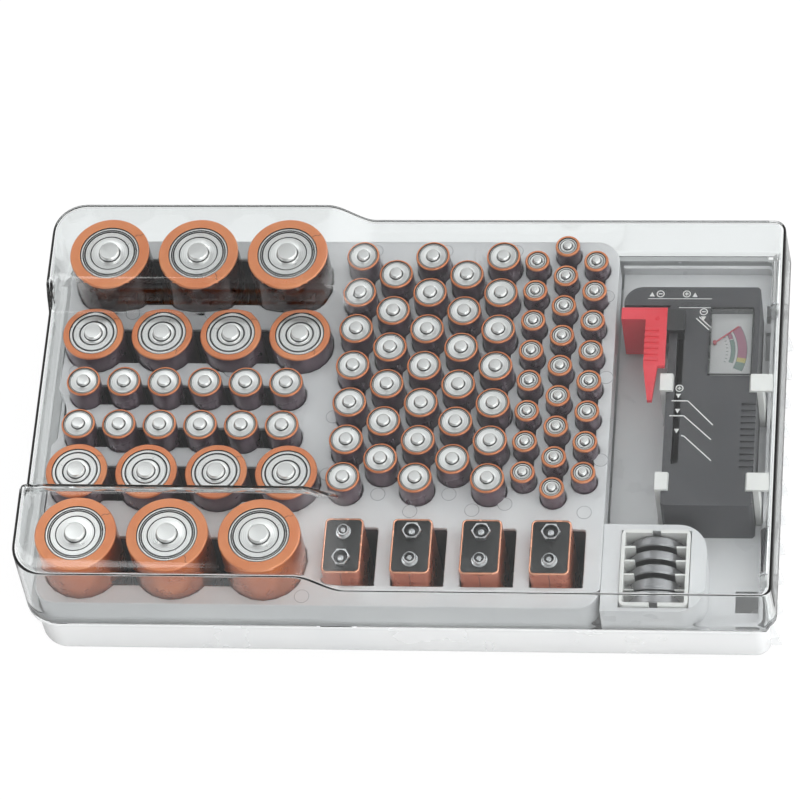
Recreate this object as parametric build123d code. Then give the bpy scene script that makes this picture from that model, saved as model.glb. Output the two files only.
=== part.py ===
from build123d import *
import math
import os

# A battery storage case: a hinged clear lid over a deck of scalloped wells, with a
# clip-in battery tester and a holder for coin cells. Millimetres, +Z up. The origin
# is the centre of the footprint on the table. The hinge is at the +X end, the thumb
# notch at -X, and -Y is the front.

# ---------------------------------------------------------------- driving sizes
CASE_LENGTH = 313.2          # along X, from the lid's free end to the fin tips
LID_WIDTH = 182.6            # along Y, outside the lid
LID_HIGH = 66.5              # top of the raised blocks over the largest cells
LID_LOW = 55.0               # top of the rest of the lid
LID_WALL = 1.6
LID_DRAFT = 1.0              # how far each lid wall leans in by the top
LID_CORNER = 15.0            # plan radius at the free end
HINGE_CORNER = 6.0           # plan radius at the hinge end
LID_EDGE = 3.0               # rounding where the walls meet the top
BLOCK_END_X = -38.5          # where the raised blocks start to step down
STEP_LENGTH = 20.0
REAR_BLOCK_FRONT = 50.5
FRONT_BLOCK_REAR = -49.0
REAR_BLOCK_SPREAD = 8.0      # how far a block's inner wall spreads on its way down
FRONT_BLOCK_SPREAD = 5.0

SEAM_Z = 24.8                # lower rim of the lid
SEAM_GAP = 0.3
BASE_INSET = 2.0             # base wall set in from the lid wall, front and back
BASE_INSET_END = 3.5         # the same at the free end
BASE_WALL = 1.5
BASE_FLOOR = 2.0
BASE_CORNER = 12.0
BASE_EDGE = 1.8              # chamfer under the base
FLANGE_THICK = 2.3           # ledge that carries the lid
FIN_COUNT, FIN_STEP, FIN_REAR = 11, 14.2, 59.0
FIN_THICK, FIN_TOP, FIN_TOE = 1.6, 21.0, 1.5
FIN_REACH = 0.7              # the fin tips stand this far past the lid

HINGE_Z = 28.0
BARREL_R = 4.0               # rolled edge of the lid round the hinge axis
BARREL_WALL = 1.5
PIN_R = 1.25
PIN_CLEARANCE = 0.05
EAR_R = 3.6
EAR_THICK = 2.6
EAR_ROOT = 4.0               # how far an ear reaches down the end wall
HINGE_GAP = 0.4
KNUCKLE_LENGTH = 22.0
KNUCKLE_CENTRES = (73.3, -57.0)

DECK_LEFT, DECK_RIGHT = -150.1, 84.4
DECK_FRONT, DECK_REAR = -88.9, 87.4
DECK_TOP = 40.0
DECK_PLATE = 2.0
DECK_WALL = 1.4
DECK_CORNER = 10.0
BIN_WALL = 0.9               # walls that hang below the deck round the wells
BIN_FOOT = 1.0               # gap between those walls and the base floor
CELL_CLEARANCE = 0.35        # round each cell in its well
NECK_SHARE = 0.62            # neck width between wells, as a share of a well
NOTCH_CHORD, NOTCH_DEPTH, NOTCH_Y = 28.0, 4.8, -1.0
NOTCH_DROP = 9.0

# cells: diameter, overall height, button diameter and button height, and how many
# flat sides stand for the round of each cell and its well, because there are so many
D_CELL = (34.0, 61.5, 9.0, 1.8, 18)
C_CELL = (26.0, 50.0, 7.2, 1.7, 14)
AA_CELL = (14.3, 50.5, 5.2, 1.3, 10)
AAA_CELL = (10.4, 44.5, 3.6, 1.0, 8)
BUTTON_SIDES = 6
AAA_SEAT = 3.0               # pad that lifts the shortest cells
D_FIRST, D_STEP, D_COUNT = -130.4, 38.1, 3
D_ROWS = (67.3, -69.3)
C_FIRST, C_STEP, C_COUNT = -135.8, 29.4, 4
C_ROWS = (34.4, -32.9)
AA_FIRST, AA_STEP, AA_COUNT = -137.3, 17.2, 6
AA_ROWS = (10.2, -10.6)
AA_BLOCK_X, AA_BLOCK_DX, AA_BLOCK_COLUMNS = -23.8, 15.0, 5
AA_BLOCK_REAR, AA_BLOCK_DY, AA_BLOCK_COUNT = 73.0, 18.05, 7
AAA_BLOCK_X, AAA_BLOCK_DX, AAA_BLOCK_COLUMNS = 50.3, 12.5, 3
AAA_BLOCK_REAR, AAA_BLOCK_DY, AAA_BLOCK_COUNT = 79.9, 14.75, 9

NINE_VOLT = (16.6, 25.6, 46.4)          # width, depth and height of the can
NINE_CAP, NINE_RIM = 1.6, 0.5           # end cap set into the can's top
NINE_CORNER = 2.4
NINE_FIRST, NINE_STEP, NINE_COUNT = -30.2, 28.6, 4
NINE_FRONT = -79.0
NINE_SPARE = 5.0                        # room left beside each cell for a finger
SNAP_SPACING, SNAP_HEIGHT = 12.7, 2.2
STUD_R, SOCKET_R = 2.9, 4.2
SMALL_SIDES = 8              # flat sides of small round forms: studs, posts and screws

BAY_GAP = 0.1                # the tester tray starts this far from the deck
TRAY_RIGHT = 149.6
TRAY_FRONT, TRAY_REAR = -86.5, 86.4
TRAY_TOP, TRAY_THICK, TRAY_RIM = 18.0, 2.0, 23.0
TRAY_WALL, TRAY_CORNER = 1.4, 4.0
LIGHTENING_X = (145.9, 148.0)           # narrow openings beside the right wall
LIGHTENING_Y = ((42.0, 56.0), (60.5, 69.5))
CORNER_OPENING = (138.0, 147.3, -78.0, -70.2)
COIN_BLOCK_RIGHT, COIN_BLOCK_REAR = 127.0, -49.5
COIN_BLOCK_TOP, COIN_BLOCK_CORNER = 38.5, 12.0

COIN_CELL = (24.5, 5.0)
COIN_SIDES = 24
COIN_COUNT, COIN_PITCH, COIN_MARGIN = 5, 6.4, 0.2
COIN_X, COIN_Z = 106.2, 27.0
HOLDER_FRONT = -86.9
HOLDER_SIZE = (28.2, 34.2)
HOLDER_WALL, HOLDER_TOP, HOLDER_CORNER = 1.5, 39.9, 2.5
HOLDER_NOTCH, HOLDER_NOTCH_DROP = 3.6, 12.0
HOLDER_TAB, HOLDER_TAB_REACH, CRADLE_RISE = 0.8, 4.2, 2.0
DROP_IN_GAP = 0.3

TESTER_LEFT, TESTER_RIGHT = 107.4, 144.9
TESTER_FRONT, TESTER_REAR = -44.0, 61.6
TESTER_TOP, TESTER_SPLIT = 45.0, 40.0
TESTER_WALL, TESTER_CORNER = 1.8, 2.0
LOBE_LEFT, LOBE_FRONT, LOBE_CORNER = 87.9, 50.5, 8.0
LOBE_LEDGE, LOBE_LEDGE_DROP = 2.0, 1.2
SCREW_INSET, BOSS_R = 6.0, 3.0
SCREW_R, SCREW_HEAD_R, SCREW_HEAD_HEIGHT, SCREW_SUNK = 1.2, 2.2, 2.1, 0.3
GRIP_DEPTH, GRIP_WIDTH, GRIP_REAR, GRIP_STEP, GRIP_COUNT = 0.9, 6.0, 4.0, 3.0, 11
SNAP_CONTACT_Z, SNAP_CONTACT_R, SNAP_CONTACT_FLANGE = 31.0, 2.0, 1.0
BOARD_X, BOARD_Y, BOARD_THICK = (113.0, 139.0), (-34.0, 14.0), 1.6
RESISTOR_X, RESISTOR_Y, RESISTOR_R = 124.0, (-17.0, -3.0), 2.0

METER_X, METER_Y = 133.4, 34.8
METER_SIZE = (18.2, 32.8)
METER_RISE, METER_ROOF, METER_WALL = 0.9, 1.0, 0.6
METER_FIT = 0.1
DIAL_TOP, DIAL_THICK = 41.0, 0.8
PIVOT_X, PIVOT_Y = 126.4, 35.9
NEEDLE_LENGTH, NEEDLE_ANGLE = 12.6, 39.5
NEEDLE_WIDTH, NEEDLE_THICK, NEEDLE_LIFT = 0.5, 0.4, 0.7
HUB_R, HUB_HEIGHT, ARBOR_R, BEARING_CLEARANCE = 0.8, 1.0, 0.5, 0.05
YOKE_SIZE, YOKE_HEIGHT, YOKE_PLATE = (13.0, 16.0), 13.0, 2.0
YOKE_LEFT = 5.6              # the yoke reaches this far to the left of the pivot
COIL_R, COIL_HEIGHT, COIL_ROOM = 3.6, 7.5, 0.6

CLIP_CENTRES, CLIP_WIDTH = (14.1, -33.3), 8.2
CLIP_GAP, CLIP_POST, CLIP_REACH, CLIP_THICK = 0.2, 2.4, 3.0, 1.3
CLIP_TAB = 3.8               # release tab behind each right-hand clip
CLIP_NOSE = 0.6
WINDOW_MARGIN = 0.4          # round a clip where it passes through the tray

ARM_CLEARANCE = 0.4          # over the clips
ARM_LEFT, ARM_RIGHT = 87.4, 106.6
ARM_REAR, ARM_BAR_FRONT, ARM_FRONT = 48.9, 43.2, 20.4
ARM_THICK = 2.0
ARM_RIB_LEFT = 97.6
PUSHER_RIGHT, PUSHER_BOTTOM, PUSHER_WALL = 102.8, 21.0, 1.6
THUMB_COUNT, THUMB_REAR, THUMB_STEP, THUMB_R = 6, 38.2, 2.9, 0.9
THUMB_RIGHT = 103.6
TIP_X, TIP_Y, TIP_HALF, TIP_DROP = 100.6, 5.9, 1.0, 3.6
SHOE_REAR, SHOE_LENGTH = 48.0, 10.0
SLOT_LEFT, SLOT_WIDTH, SLOT_CLEARANCE = 110.9, 2.8, 0.3
SHOE_FLARE, SHOE_HEAD = 0.7, 1.4
ARM_TRAVEL = 62.0
CONTACT_THICK, CONTACT_INSET = 0.4, 3.5

# ------------------------------------------------------------- worked-out values
CHAMFER_SHARE = 2 - math.sqrt(2)        # of a radius: a chamfer that just touches its arc
CASE_LEFT = -CASE_LENGTH / 2
FIN_TIP = CASE_LENGTH / 2
LID_RIGHT = FIN_TIP - FIN_REACH
HINGE_X = LID_RIGHT - BARREL_R
LID_HALF = LID_WIDTH / 2
BASE_HALF = LID_HALF - BASE_INSET
BASE_LEFT = CASE_LEFT + BASE_INSET_END
BASE_RIGHT = HINGE_X + 0.5
BASE_END_TOP = HINGE_Z - BARREL_R - HINGE_GAP
FLANGE_TOP = SEAM_Z - SEAM_GAP
FLANGE_RIGHT = HINGE_X - BARREL_R - 2.0
DECK_UNDER = DECK_TOP - DECK_PLATE
TESTER_BOTTOM = TRAY_TOP
CLIP_TOP = TESTER_TOP + CLIP_GAP + CLIP_THICK
ARM_BOTTOM = CLIP_TOP + ARM_CLEARANCE
ARM_TOP = ARM_BOTTOM + ARM_THICK
NEEDLE_Z = DIAL_TOP + NEEDLE_LIFT
YOKE_TOP = DIAL_TOP - DIAL_THICK
YOKE_BOTTOM = YOKE_TOP - YOKE_HEIGHT


# ------------------------------------------------------------- building helpers
def at(x, y, z):
    return Location((x, y, z))


def box(x0, x1, y0, y1, z0, z1):
    """A box from its limits."""
    middle = at((x0 + x1) / 2, (y0 + y1) / 2, (z0 + z1) / 2)
    return middle * Box(x1 - x0, y1 - y0, z1 - z0)


def slab(x0, x1, y0, y1, z0, z1, left_r, right_r, cut=fillet):
    """A box whose plan corners are rounded or chamfered, by one size at each end."""
    outline = make_face(Polyline((x0, y0), (x1, y0), (x1, y1), (x0, y1), close=True))
    if left_r:
        outline = cut([v for v in outline.vertices() if v.X < x0 + 0.01], left_r)
    if right_r:
        outline = cut([v for v in outline.vertices() if v.X > x1 - 0.01], right_r)
    return at(0, 0, z0) * extrude(outline, z1 - z0)


def bar(length, radius, sides):
    """A bar up from z = 0: round, or with flat sides whose corners lie on the circle."""
    if sides:
        return extrude(RegularPolygon(radius, sides), length)
    return Cylinder(radius, length, align=(Align.CENTER, Align.CENTER, Align.MIN))


def upright(x, y, z0, z1, radius, sides=0):
    return at(x, y, z0) * bar(z1 - z0, radius, sides)


def along_y(x, z, y0, y1, radius, sides=0):
    return at(x, y1, z) * Rot(90, 0, 0) * bar(y1 - y0, radius, sides)


def prism_y(points, y0, y1):
    """An (x, z) outline extruded from y0 to y1."""
    outline = make_face(Polyline(*[(x, 0, z) for x, z in points], close=True))
    return at(0, y0, 0) * extrude(outline, y1 - y0, dir=(0, 1, 0))


def prism_x(points, x0, x1):
    """A (y, z) outline extruded from x0 to x1."""
    outline = make_face(Polyline(*[(0, y, z) for y, z in points], close=True))
    return at(x0, 0, 0) * extrude(outline, x1 - x0, dir=(1, 0, 0))


def save(name, shape):
    """Write one node, and print how many solids it has."""
    solids = shape if isinstance(shape, list) else list(shape.solids())
    node = solids[0] if len(solids) == 1 else Compound(children=solids)
    export_step(node, f"parts/{name}.step")
    print(f"{name:18s} {len(solids):3d} solids")


# ------------------------------------------------------------------ cell layout
def row(first, step, count, y):
    return [(first + i * step, y) for i in range(count)]


def staggered(x0, dx, columns, rear, dy, count, long_first):
    """Columns along Y; every other one is a cell shorter and shifted by half a step."""
    result = []
    for c in range(columns):
        is_long = (c % 2 == 0) == long_first
        start = rear if is_long else rear - dy / 2
        n = count if is_long else count - 1
        result.append([(x0 + c * dx, start - i * dy) for i in range(n)])
    return result


D_TROUGHS = [row(D_FIRST, D_STEP, D_COUNT, y) for y in D_ROWS]
C_TROUGHS = [row(C_FIRST, C_STEP, C_COUNT, y) for y in C_ROWS]
AA_ROW_TROUGHS = [row(AA_FIRST, AA_STEP, AA_COUNT, y) for y in AA_ROWS]
AA_BLOCK_TROUGHS = staggered(AA_BLOCK_X, AA_BLOCK_DX, AA_BLOCK_COLUMNS, AA_BLOCK_REAR,
                             AA_BLOCK_DY, AA_BLOCK_COUNT, True)
AAA_TROUGHS = staggered(AAA_BLOCK_X, AAA_BLOCK_DX, AAA_BLOCK_COLUMNS, AAA_BLOCK_REAR,
                        AAA_BLOCK_DY, AAA_BLOCK_COUNT, False)

# each group of troughs that shares one bin below the deck
CELL_GROUPS = [([places], D_CELL) for places in D_TROUGHS]
CELL_GROUPS += [([places], C_CELL) for places in C_TROUGHS]
CELL_GROUPS += [([places], AA_CELL) for places in AA_ROW_TROUGHS]
CELL_GROUPS += [(AA_BLOCK_TROUGHS, AA_CELL), (AAA_TROUGHS, AAA_CELL)]


def well_radius(cell):
    return cell[0] / 2 + CELL_CLEARANCE


def trough(places, cell, z0, z1):
    """The scalloped opening for one row: a well round each cell, joined by necks."""
    radius = well_radius(cell)
    neck = 2 * radius * NECK_SHARE
    (xa, ya), (xb, yb) = places[0], places[-1]
    well = RegularPolygon(radius, cell[4], major_radius=False)
    outline = Sketch() + [Location((x, y)) * well for x, y in places]
    link = Rectangle(max(abs(xb - xa), neck), max(abs(yb - ya), neck))
    outline += Location(((xa + xb) / 2, (ya + yb) / 2)) * link
    return at(0, 0, z0) * extrude(outline, z1 - z0)


def cell_bin(troughs, cell, z0, z1, grow):
    """The bin below one group of troughs, with corners that follow the end cells."""
    reach = well_radius(cell) + grow
    xs = [x for places in troughs for x, _ in places]
    ys = [y for places in troughs for _, y in places]
    corner = reach * CHAMFER_SHARE
    return slab(min(xs) - reach, max(xs) + reach, min(ys) - reach, max(ys) + reach, z0, z1,
                corner, corner, chamfer)


def nine_volt_bin(i, z0, z1, grow):
    wide, deep, _ = NINE_VOLT
    x = NINE_FIRST + i * NINE_STEP
    reach = CELL_CLEARANCE + grow
    return box(x - reach, x + wide + NINE_SPARE + grow, NINE_FRONT - reach,
               NINE_FRONT + deep + reach, z0, z1)


# ------------------------------------------------------------------------ cells
def round_cell(x, y, cell, seat=0.0):
    """A dry cell standing on its flat end: jacket up to the shoulder, then the button."""
    diameter, height, button_d, button_h, sides = cell
    z0 = BASE_FLOOR + seat
    shoulder = z0 + height - button_h
    jacket = upright(x, y, z0, shoulder, diameter / 2, sides)
    return jacket + upright(x, y, shoulder, z0 + height, button_d / 2, BUTTON_SIDES)


def cells_of(troughs, cell, seat=0.0):
    return [round_cell(x, y, cell, seat) for places in troughs for x, y in places]


def nine_volt_cap(i):
    """The dark plate in the top of one 9 V can."""
    wide, deep, height = NINE_VOLT
    x = NINE_FIRST + i * NINE_STEP
    top = BASE_FLOOR + height
    corner = (NINE_CORNER - NINE_RIM) * CHAMFER_SHARE
    return slab(x + NINE_RIM, x + wide - NINE_RIM, NINE_FRONT + NINE_RIM,
                NINE_FRONT + deep - NINE_RIM, top - NINE_CAP, top, corner, corner, chamfer)


def nine_volt_can(i):
    """The metal jacket, with a thin rim round its cap."""
    wide, deep, height = NINE_VOLT
    x = NINE_FIRST + i * NINE_STEP
    corner = NINE_CORNER * CHAMFER_SHARE
    can = slab(x, x + wide, NINE_FRONT, NINE_FRONT + deep, BASE_FLOOR, BASE_FLOOR + height,
               corner, corner, chamfer)
    return can - nine_volt_cap(i)


def nine_volt_snaps(i):
    """The round stud and the six-sided socket on top of one 9 V cell."""
    wide, deep, height = NINE_VOLT
    x = NINE_FIRST + i * NINE_STEP + wide / 2
    y = NINE_FRONT + deep / 2
    z = BASE_FLOOR + height
    side = SNAP_SPACING / 2 if i == 0 else -SNAP_SPACING / 2
    top = z + SNAP_HEIGHT
    socket = upright(x, y - side, z, top, SOCKET_R, 6)
    socket -= upright(x, y - side, z, top, STUD_R, SMALL_SIDES)
    return [upright(x, y + side, z, top, STUD_R, SMALL_SIDES), socket]


def coin_places():
    """The near face of each coin cell along Y."""
    first = HOLDER_FRONT + HOLDER_WALL + COIN_MARGIN
    return [first + i * COIN_PITCH for i in range(COIN_COUNT)]


def coin_cells():
    diameter, thick = COIN_CELL
    return [along_y(COIN_X, COIN_Z, y, y + thick, diameter / 2, COIN_SIDES) for y in coin_places()]


def coin_holder():
    """The drop-in frame that parts the coin cells: rim, two notches and side tabs."""
    wide, deep = HOLDER_SIZE
    x0, x1 = COIN_X - wide / 2, COIN_X + wide / 2
    y0, y1 = HOLDER_FRONT, HOLDER_FRONT + deep
    inside_left, inside_right = x0 + HOLDER_WALL, x1 - HOLDER_WALL
    floor = BASE_FLOOR + HOLDER_WALL
    solid = slab(x0, x1, y0, y1, BASE_FLOOR, HOLDER_TOP, HOLDER_CORNER, HOLDER_CORNER)
    solid -= box(inside_left, inside_right, y0 + HOLDER_WALL, y1 - HOLDER_WALL, floor, HOLDER_TOP)
    half = HOLDER_NOTCH / 2
    solid -= box(COIN_X - half, COIN_X + half, y0, y1, HOLDER_TOP - HOLDER_NOTCH_DROP, HOLDER_TOP)
    gap = COIN_PITCH - COIN_CELL[1]
    for y in coin_places()[:-1]:
        low = y + COIN_CELL[1] + (gap - HOLDER_TAB) / 2
        high = low + HOLDER_TAB
        solid += box(inside_left, inside_left + HOLDER_TAB_REACH, low, high, floor, HOLDER_TOP - 1)
        solid += box(inside_right - HOLDER_TAB_REACH, inside_right, low, high, floor, HOLDER_TOP - 1)
    cradle = box(inside_left, inside_right, y0 + HOLDER_WALL, y1 - HOLDER_WALL, floor,
                 COIN_Z - COIN_CELL[0] / 2 + CRADLE_RISE)
    return solid + (cradle - along_y(COIN_X, COIN_Z, y0, y1, COIN_CELL[0] / 2))


# ------------------------------------------------------------------------- base
def knuckle_span(centre):
    return centre - KNUCKLE_LENGTH / 2, centre + KNUCKLE_LENGTH / 2


def ear_spans():
    """The stretches of Y that the base's hinge ears take."""
    spans = []
    for centre in KNUCKLE_CENTRES:
        low, high = knuckle_span(centre)
        spans.append((low - HINGE_GAP - EAR_THICK, low - HINGE_GAP))
        spans.append((high + HINGE_GAP, high + HINGE_GAP + EAR_THICK))
    return spans


def hinge_ear(y0, y1):
    """A rounded plate from the end wall up round the pin."""
    solid = along_y(HINGE_X, HINGE_Z, y0, y1, EAR_R)
    solid += box(HINGE_X - EAR_R, BASE_RIGHT, y0, y1, BASE_END_TOP, HINGE_Z)
    solid += box(BASE_RIGHT - BASE_WALL, BASE_RIGHT, y0, y1, BASE_END_TOP - EAR_ROOT, HINGE_Z)
    return solid - along_y(HINGE_X, HINGE_Z, y0, y1, PIN_R)


def fin(y):
    """A gusset on the hinge end that widens downward to a blunt toe."""
    root = BASE_RIGHT - BASE_WALL / 2
    points = [(root, BASE_FLOOR), (BASE_RIGHT, 0), (FIN_TIP, 0), (FIN_TIP, FIN_TOE),
              (BASE_RIGHT + 1, FIN_TOP), (root, FIN_TOP)]
    return prism_y(points, y - FIN_THICK / 2, y + FIN_THICK / 2)


def base_tray():
    """The clear tray: floor, walls, ledge for the lid, hinge ears and end gussets."""
    top = FLANGE_TOP
    wall = BASE_WALL
    outer = slab(BASE_LEFT, BASE_RIGHT, -BASE_HALF, BASE_HALF, 0, top, BASE_CORNER, HINGE_CORNER)
    outer = chamfer(outer.faces().sort_by(Axis.Z)[0].edges(), BASE_EDGE)
    inner = slab(BASE_LEFT + wall, BASE_RIGHT - wall, -BASE_HALF + wall, BASE_HALF - wall,
                 BASE_FLOOR, top, BASE_CORNER - wall, HINGE_CORNER - wall)
    ledge = slab(CASE_LEFT, FLANGE_RIGHT, -LID_HALF, LID_HALF, top - FLANGE_THICK, top, LID_CORNER, 0)
    solid = (outer + ledge) - inner
    solid -= box(FLANGE_RIGHT, FIN_TIP, -LID_HALF, LID_HALF, BASE_END_TOP, top)
    for low, high in ear_spans():
        solid += hinge_ear(low, high)
    for i in range(FIN_COUNT):
        solid += fin(FIN_REAR - i * FIN_STEP)
    return solid + cell_bin(AAA_TROUGHS, AAA_CELL, BASE_FLOOR - 0.5, BASE_FLOOR + AAA_SEAT, 0)


def hinge_pins():
    """One steel pin through each knuckle and the ears beside it."""
    pins = []
    for centre in KNUCKLE_CENTRES:
        low, high = knuckle_span(centre)
        reach = HINGE_GAP + EAR_THICK
        pins.append(along_y(HINGE_X, HINGE_Z, low - reach, high + reach, PIN_R))
    return pins


# ------------------------------------------------------------------------- deck
def cell_deck():
    """The moulded deck: plate with scalloped wells, skirt, and bins below."""
    wall = DECK_WALL
    solid = slab(DECK_LEFT, DECK_RIGHT, DECK_FRONT, DECK_REAR, FLANGE_TOP, DECK_TOP,
                 DECK_CORNER, DECK_CORNER)
    solid -= slab(DECK_LEFT + wall, DECK_RIGHT - wall, DECK_FRONT + wall, DECK_REAR - wall,
                  FLANGE_TOP, DECK_UNDER, DECK_CORNER - wall, DECK_CORNER - wall)
    solid += box(DECK_RIGHT - wall, DECK_RIGHT, DECK_FRONT + DECK_CORNER, DECK_REAR - DECK_CORNER,
                 TRAY_TOP - TRAY_THICK, DECK_UNDER)
    low = BASE_FLOOR + BIN_FOOT
    for troughs, cell in CELL_GROUPS:
        foot = low + (AAA_SEAT if cell is AAA_CELL else 0)
        solid += cell_bin(troughs, cell, foot, DECK_UNDER + 0.5, BIN_WALL)
    for i in range(NINE_COUNT):
        solid += nine_volt_bin(i, low, DECK_UNDER + 0.5, BIN_WALL)
    for troughs, cell in CELL_GROUPS:
        solid -= cell_bin(troughs, cell, low, DECK_UNDER, 0)
        for places in troughs:
            solid -= trough(places, cell, DECK_UNDER, DECK_TOP)
    for i in range(NINE_COUNT):
        solid -= nine_volt_bin(i, low, DECK_TOP, 0)
    radius = (NOTCH_CHORD ** 2 / 4 + NOTCH_DEPTH ** 2) / (2 * NOTCH_DEPTH)
    notch_x = DECK_LEFT + NOTCH_DEPTH - radius
    return solid - upright(notch_x, NOTCH_Y, DECK_TOP - NOTCH_DROP, DECK_TOP, radius)


def clip_posts():
    """Each clip's side (-1 left, +1 right) and its middle along Y."""
    return [(side, y) for y in CLIP_CENTRES for side in (-1, 1)]


def clip_span(side):
    """The near and far face of a clip's post along X."""
    edge = TESTER_LEFT if side < 0 else TESTER_RIGHT
    near = edge + side * CLIP_GAP
    return near, near + side * CLIP_POST


def tester_tray():
    """The bay that holds the tester, with the raised block round the coin holder."""
    left = DECK_RIGHT + BAY_GAP
    wall = TRAY_WALL
    bottom = TRAY_TOP - TRAY_THICK
    ceiling = COIN_BLOCK_TOP - DECK_PLATE
    corner = COIN_BLOCK_CORNER
    solid = slab(left, TRAY_RIGHT, TRAY_FRONT, TRAY_REAR, bottom, TRAY_RIM, 0, TRAY_CORNER)
    solid -= slab(left, TRAY_RIGHT - wall, TRAY_FRONT + wall, TRAY_REAR - wall, TRAY_TOP, TRAY_RIM,
                  0, TRAY_CORNER - wall)
    skirt = slab(left, COIN_BLOCK_RIGHT, DECK_FRONT, COIN_BLOCK_REAR, FLANGE_TOP, COIN_BLOCK_TOP,
                 0, corner)
    skirt -= slab(left, COIN_BLOCK_RIGHT - wall, DECK_FRONT + wall, COIN_BLOCK_REAR - wall,
                  FLANGE_TOP, ceiling, 0, corner - wall)
    walls = slab(left, COIN_BLOCK_RIGHT, TRAY_FRONT, COIN_BLOCK_REAR, bottom, ceiling, 0, corner)
    walls -= slab(left, COIN_BLOCK_RIGHT - wall, TRAY_FRONT + wall, COIN_BLOCK_REAR - wall,
                  bottom, ceiling, 0, corner - wall)
    solid += walls + skirt
    wide, deep = HOLDER_SIZE
    reach = wide / 2 + DROP_IN_GAP
    solid -= box(COIN_X - reach, COIN_X + reach, HOLDER_FRONT - DROP_IN_GAP,
                 HOLDER_FRONT + deep + DROP_IN_GAP, 0, COIN_BLOCK_TOP)
    for side, y in clip_posts():
        near, far = sorted(clip_span(side))
        half = CLIP_WIDTH / 2 + WINDOW_MARGIN
        solid -= box(near - WINDOW_MARGIN, far + WINDOW_MARGIN, y - half, y + half, 0, TRAY_TOP)
    for low, high in LIGHTENING_Y:
        solid -= box(*LIGHTENING_X, low, high, 0, TRAY_TOP)
    return solid - box(*CORNER_OPENING, 0, TRAY_TOP)


def tester_clips():
    """Four springy hooks that stand on the base floor and hold the tester down."""
    clips = []
    for side, y in clip_posts():
        near, far = clip_span(side)
        tip = near - side * (CLIP_REACH + CLIP_GAP)
        under = TESTER_TOP + CLIP_GAP
        points = [(near, BASE_FLOOR), (near, under), (tip, under), (tip + side * CLIP_NOSE, CLIP_TOP)]
        if side > 0:
            points += [(far + CLIP_TAB, CLIP_TOP), (far + CLIP_TAB, under), (far, under)]
        else:
            points += [(far, CLIP_TOP)]
        points += [(far, BASE_FLOOR)]
        clips.append(prism_y(points, y - CLIP_WIDTH / 2, y + CLIP_WIDTH / 2))
    return clips


# -------------------------------------------------------------------------- lid
def s_curve(x0, z0, x1, z1, steps=6):
    """Points of a smooth step from (x0, z0) to (x1, z1)."""
    shares = [i / steps for i in range(steps + 1)]
    return [(x0 + (x1 - x0) * t, z0 + (z1 - z0) * (1 - math.cos(math.pi * t)) / 2) for t in shares]


def rounded(corner, side, top, radius):
    """Three points that round off a top corner; side is -1 for a left corner."""
    cut = radius * (1 - math.sqrt(0.5))
    return [(corner, top - radius), (corner - side * cut, top - cut), (corner - side * radius, top)]


def lid_section(top, t):
    """The lid's outline across Y, t inside its outer face."""
    half = LID_HALF - t
    lean = LID_DRAFT * (top - SEAM_Z) / (LID_HIGH - SEAM_Z)
    edge = LID_EDGE - t
    left = rounded(-half + lean, -1, top, edge)
    right = rounded(half - lean, 1, top, edge)[::-1]
    return [(-half, SEAM_Z)] + left + right + [(half, SEAM_Z)]


def lid_block(front_y, rear_y, t, outline):
    """One raised block: its long profile cut to the stretch between its two walls."""
    low, high = LID_LOW - t, LID_HIGH - t
    foot = low - 8
    left = CASE_LEFT + t
    end = BLOCK_END_X - t
    profile = [(left, foot)] + rounded(left + LID_DRAFT, -1, high, LID_EDGE - t)
    profile += s_curve(end, high, end + STEP_LENGTH, low) + [(end + STEP_LENGTH, foot)]
    (front_top, front_low), (rear_top, rear_low) = front_y, rear_y
    across = [(front_low, foot), (front_low, low), (front_top, high), (rear_top, high),
              (rear_low, low), (rear_low, foot)]
    return prism_y(profile, -LID_HALF, LID_HALF) & outline & prism_x(across, CASE_LEFT, LID_RIGHT)


def lid_volume(t):
    """The lid as a full body, t inside its outer face."""
    low, high = LID_LOW - t, LID_HIGH - t
    left, right = CASE_LEFT + t, LID_RIGHT - t
    edge = LID_EDGE - t
    plan = slab(left, right, -LID_HALF + t, LID_HALF - t, SEAM_Z, high, LID_CORNER - t,
                HINGE_CORNER - t)
    flat = [(left, SEAM_Z)] + rounded(left + LID_DRAFT * 0.6, -1, low, edge)
    flat += rounded(right - 0.5, 1, low, edge)[::-1] + [(right, HINGE_Z), (right, SEAM_Z)]
    volume = prism_y(flat, -LID_HALF, LID_HALF) & prism_x(lid_section(low, t), CASE_LEFT, LID_RIGHT)
    outline = prism_x(lid_section(high, t), CASE_LEFT, LID_RIGHT)
    rear_top = REAR_BLOCK_FRONT + t
    front_top = FRONT_BLOCK_REAR - t
    volume += lid_block((rear_top, rear_top - REAR_BLOCK_SPREAD), (LID_HALF, LID_HALF), t, outline)
    volume += lid_block((-LID_HALF, -LID_HALF), (front_top, front_top + FRONT_BLOCK_SPREAD), t, outline)
    return volume & plan


def lid_roll():
    """The quarter of a tube that ends the hinge wall, from the wall round to the bottom."""
    low, high = -LID_HALF + HINGE_CORNER, LID_HALF - HINGE_CORNER
    roll = along_y(HINGE_X, HINGE_Z, low, high, BARREL_R)
    roll -= along_y(HINGE_X, HINGE_Z, low, high, BARREL_R - BARREL_WALL)
    return roll & box(HINGE_X, LID_RIGHT, low, high, HINGE_Z - BARREL_R, HINGE_Z)


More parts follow.
